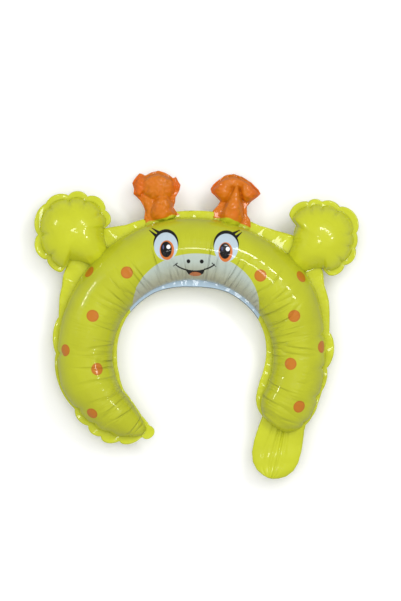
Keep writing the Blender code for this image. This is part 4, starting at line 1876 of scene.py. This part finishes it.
@dataclass
class Studio:
    """The floor, the lights and the camera."""

    pixel: float = 1.07 * MM
    image: tuple[int, int] = (401, 601)
    image_middle: tuple[float, float] = (200.5, 300.5)
    hoop_pixel: tuple[float, float] = (191.9, 355.7)
    distance: float = 5.0
    lens_sensor: float = 36.0
    sky: float = 0.38
    floor_tone: float = 0.93
    floor_roughness: float = 0.9
    floor_half: float = 4.0
    boxes: tuple[Softbox, ...] = (
        Softbox("overhead", (0.0, 0.1, 2.4), (3.2, 3.2), 59.0, mirrored=False),
        Softbox("left_strip", (-1.246, 0.5725, 0.858), (0.34, 0.04), 2.6),
        Softbox("top_panel", (0.030, 0.115, 1.50), (0.20, 0.12), 1.0),
    )
    panels: tuple[tuple[float, float], ...] = (
        (0.385, 0.715), (0.480, 0.610), (0.600, 0.480), (0.749, 0.296), (0.890, 0.115),
    )
    panel_height: float = 1.19
    panel_size: tuple[float, float] = (0.08, 0.15)
    panel_power: float = 0.9

    def camera(self) -> None:
        """Looks straight down on the balloon, as the photograph does."""
        x = HOOP_CENTRE[0] + (self.image_middle[0] - self.hoop_pixel[0]) * self.pixel
        y = HOOP_CENTRE[1] + (self.hoop_pixel[1] - self.image_middle[1]) * self.pixel
        seam = float(LINE.seam_height(np.array(0.0)))
        lens = bpy.data.cameras.new("camera")
        lens.sensor_fit = "VERTICAL"
        lens.sensor_height = self.lens_sensor
        lens.lens = self.lens_sensor * self.distance / (self.image[1] * self.pixel)
        lens.clip_end = 50.0
        camera = bpy.data.objects.new("camera", lens)
        camera.location = (x, y, seam + self.distance)
        bpy.context.scene.collection.objects.link(camera)
        bpy.context.scene.camera = camera

    def lights(self) -> None:
        """Plain soft light from above, with a strip and small panels for the glints on the film."""
        for box in self.boxes:
            box.light()
        for number, (x, y) in enumerate(self.panels, 1):
            spot = (x, y, self.panel_height)
            Softbox(f"right_panel_{number}", spot, self.panel_size, self.panel_power).light()
        world = bpy.data.worlds.new("sky")
        world.use_nodes = True
        world.node_tree.nodes["Background"].inputs["Color"].default_value = (1.0, 1.0, 1.0, 1.0)
        world.node_tree.nodes["Background"].inputs["Strength"].default_value = self.sky
        bpy.context.scene.world = world
        bpy.context.scene.view_settings.view_transform = "Standard"

    def floor(self) -> None:
        """A plain pale floor, which the glossy film doesn't mirror."""
        body = bmesh.new()
        bmesh.ops.create_grid(body, x_segments=1, y_segments=1, size=self.floor_half)
        mesh = bpy.data.meshes.new("floor")
        body.to_mesh(mesh)
        body.free()
        floor = bpy.data.objects.new("floor", mesh)
        bpy.context.scene.collection.objects.link(floor)
        shader = Shader("floor")
        shader.surface.inputs["Base Color"].default_value = (*[self.floor_tone] * 3, 1.0)
        shader.surface.inputs["Roughness"].default_value = self.floor_roughness
        mesh.materials.append(shader.material)
        floor.visible_glossy = False


LEFT_HORN_ROWS = (
    (-0.30, -14.8, 24.0), (0.07, -14.6, 24.8), (0.17, -13.9, 24.3), (0.23, -13.5, 19.4),
    (0.32, -14.9, 16.7), (0.44, -18.3, 18.6), (0.54, -23.0, 18.9), (0.59, -26.1, 20.2),
    (0.70, -25.4, 23.1), (0.82, -27.3, 24.3), (0.89, -25.7, 22.1), (1.00, -21.2, 19.5),
)
LEFT_HORN_TOP = (
    (-1.00, 50.0), (-0.90, 51.9), (-0.77, 51.1), (-0.62, 49.2), (-0.33, 52.4), (0.07, 54.6), (0.40, 52.6),
    (0.67, 49.6), (0.85, 46.3), (1.00, 47.9),
)
RIGHT_HORN_ROWS = (
    (-0.30, -20.0, 18.2), (0.09, -22.5, 16.8), (0.19, -23.1, 13.5), (0.27, -23.3, 13.3),
    (0.37, -18.1, 13.1), (0.47, -15.2, 17.4), (0.58, -21.0, 24.9), (0.64, -24.6, 27.8),
    (0.72, -25.7, 26.0), (0.80, -23.0, 21.9), (0.88, -18.2, 18.2), (0.95, -13.4, 12.3), (1.00, -9.1, 8.0),
)
RIGHT_HORN_TOP = ((-1.0, 52.5), (0.0, 53.6), (1.0, 50.5))
LEFT_EAR_RIM = (
    (13.0, 38.4, 2.6), (35.0, 39.2, 5.2), (70.0, 39.2, 4.4), (100.0, 38.7, 3.8), (136.0, 42.7, 4.2),
    (185.0, 39.2, 5.8), (225.0, 42.0, 2.6), (252.0, 45.5, 0.0), (260.0, 32.0, 0.0), (364.0, 30.0, 0.0),
)
RIGHT_EAR_RIM = (
    (-82.0, 38.0, 3.8), (-50.0, 35.8, 3.8), (-16.0, 35.8, 1.4), (11.0, 36.3, 6.2), (62.0, 38.5, 2.9),
    (91.0, 39.6, 2.8), (111.0, 42.3, 4.2), (145.0, 43.3, 0.0), (153.0, 32.0, 0.0), (268.0, 30.0, 0.0),
)
LEFT_HORN_PUFFS = (
    Puff(0.02, 0.73, 0.72, 0.31, 11.0),
    Puff(-0.84, 0.74, 0.27, 0.25, 7.5),
    Puff(0.86, 0.78, 0.20, 0.17, 6.5),
    Puff(0.22, 0.27, 0.50, 0.27, 11.5, spread=0.35),
    Puff(-0.36, 0.30, 0.36, 0.30, 4.2, lean=-0.4),
)
RIGHT_HORN_PUFFS = (
    Puff(-0.03, 0.38, 0.38, 0.45, 13.5, spread=0.75, lean=0.3),
    Puff(-0.54, 0.71, 0.50, 0.27, 10.5),
    Puff(0.64, 0.69, 0.42, 0.27, 10.5),
    Puff(0.05, 0.87, 0.62, 0.16, 8.0),
)


def main() -> None:
    """Builds the balloon piece by piece, then the studio round it."""
    logging.basicConfig(level=logging.INFO, format="%(name)s: %(message)s")
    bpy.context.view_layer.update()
    finish = PrintedFilm()
    hoop = Hoop(finish)
    pieces = [hoop.film(), *hoop.seams()]
    for ear in (
        Ear(Hand.LEFT, finish, -43.3, 0.0025, LEFT_EAR_RIM, film_seed=11),
        Ear(Hand.RIGHT, finish, 48.3, 0.0085, RIGHT_EAR_RIM, film_seed=12),
    ):
        pieces += [ear.film(), ear.sealed()]
    for horn in (
        Horn(Hand.LEFT, finish, -0.0365, 0.0255, LEFT_HORN_ROWS, LEFT_HORN_TOP, LEFT_HORN_PUFFS, seed=21),
        Horn(Hand.RIGHT, finish, 0.0456, 0.0260, RIGHT_HORN_ROWS, RIGHT_HORN_TOP, RIGHT_HORN_PUFFS, seed=22),
    ):
        pieces += [horn.film(), horn.sealed()]
    pieces.append(Tail(finish).film())
    for piece in pieces:
        log.info("%s: %d faces", piece.name, len(piece.data.polygons))
    studio = Studio()
    studio.floor()
    studio.lights()
    studio.camera()


if __name__ == "__main__":
    main()
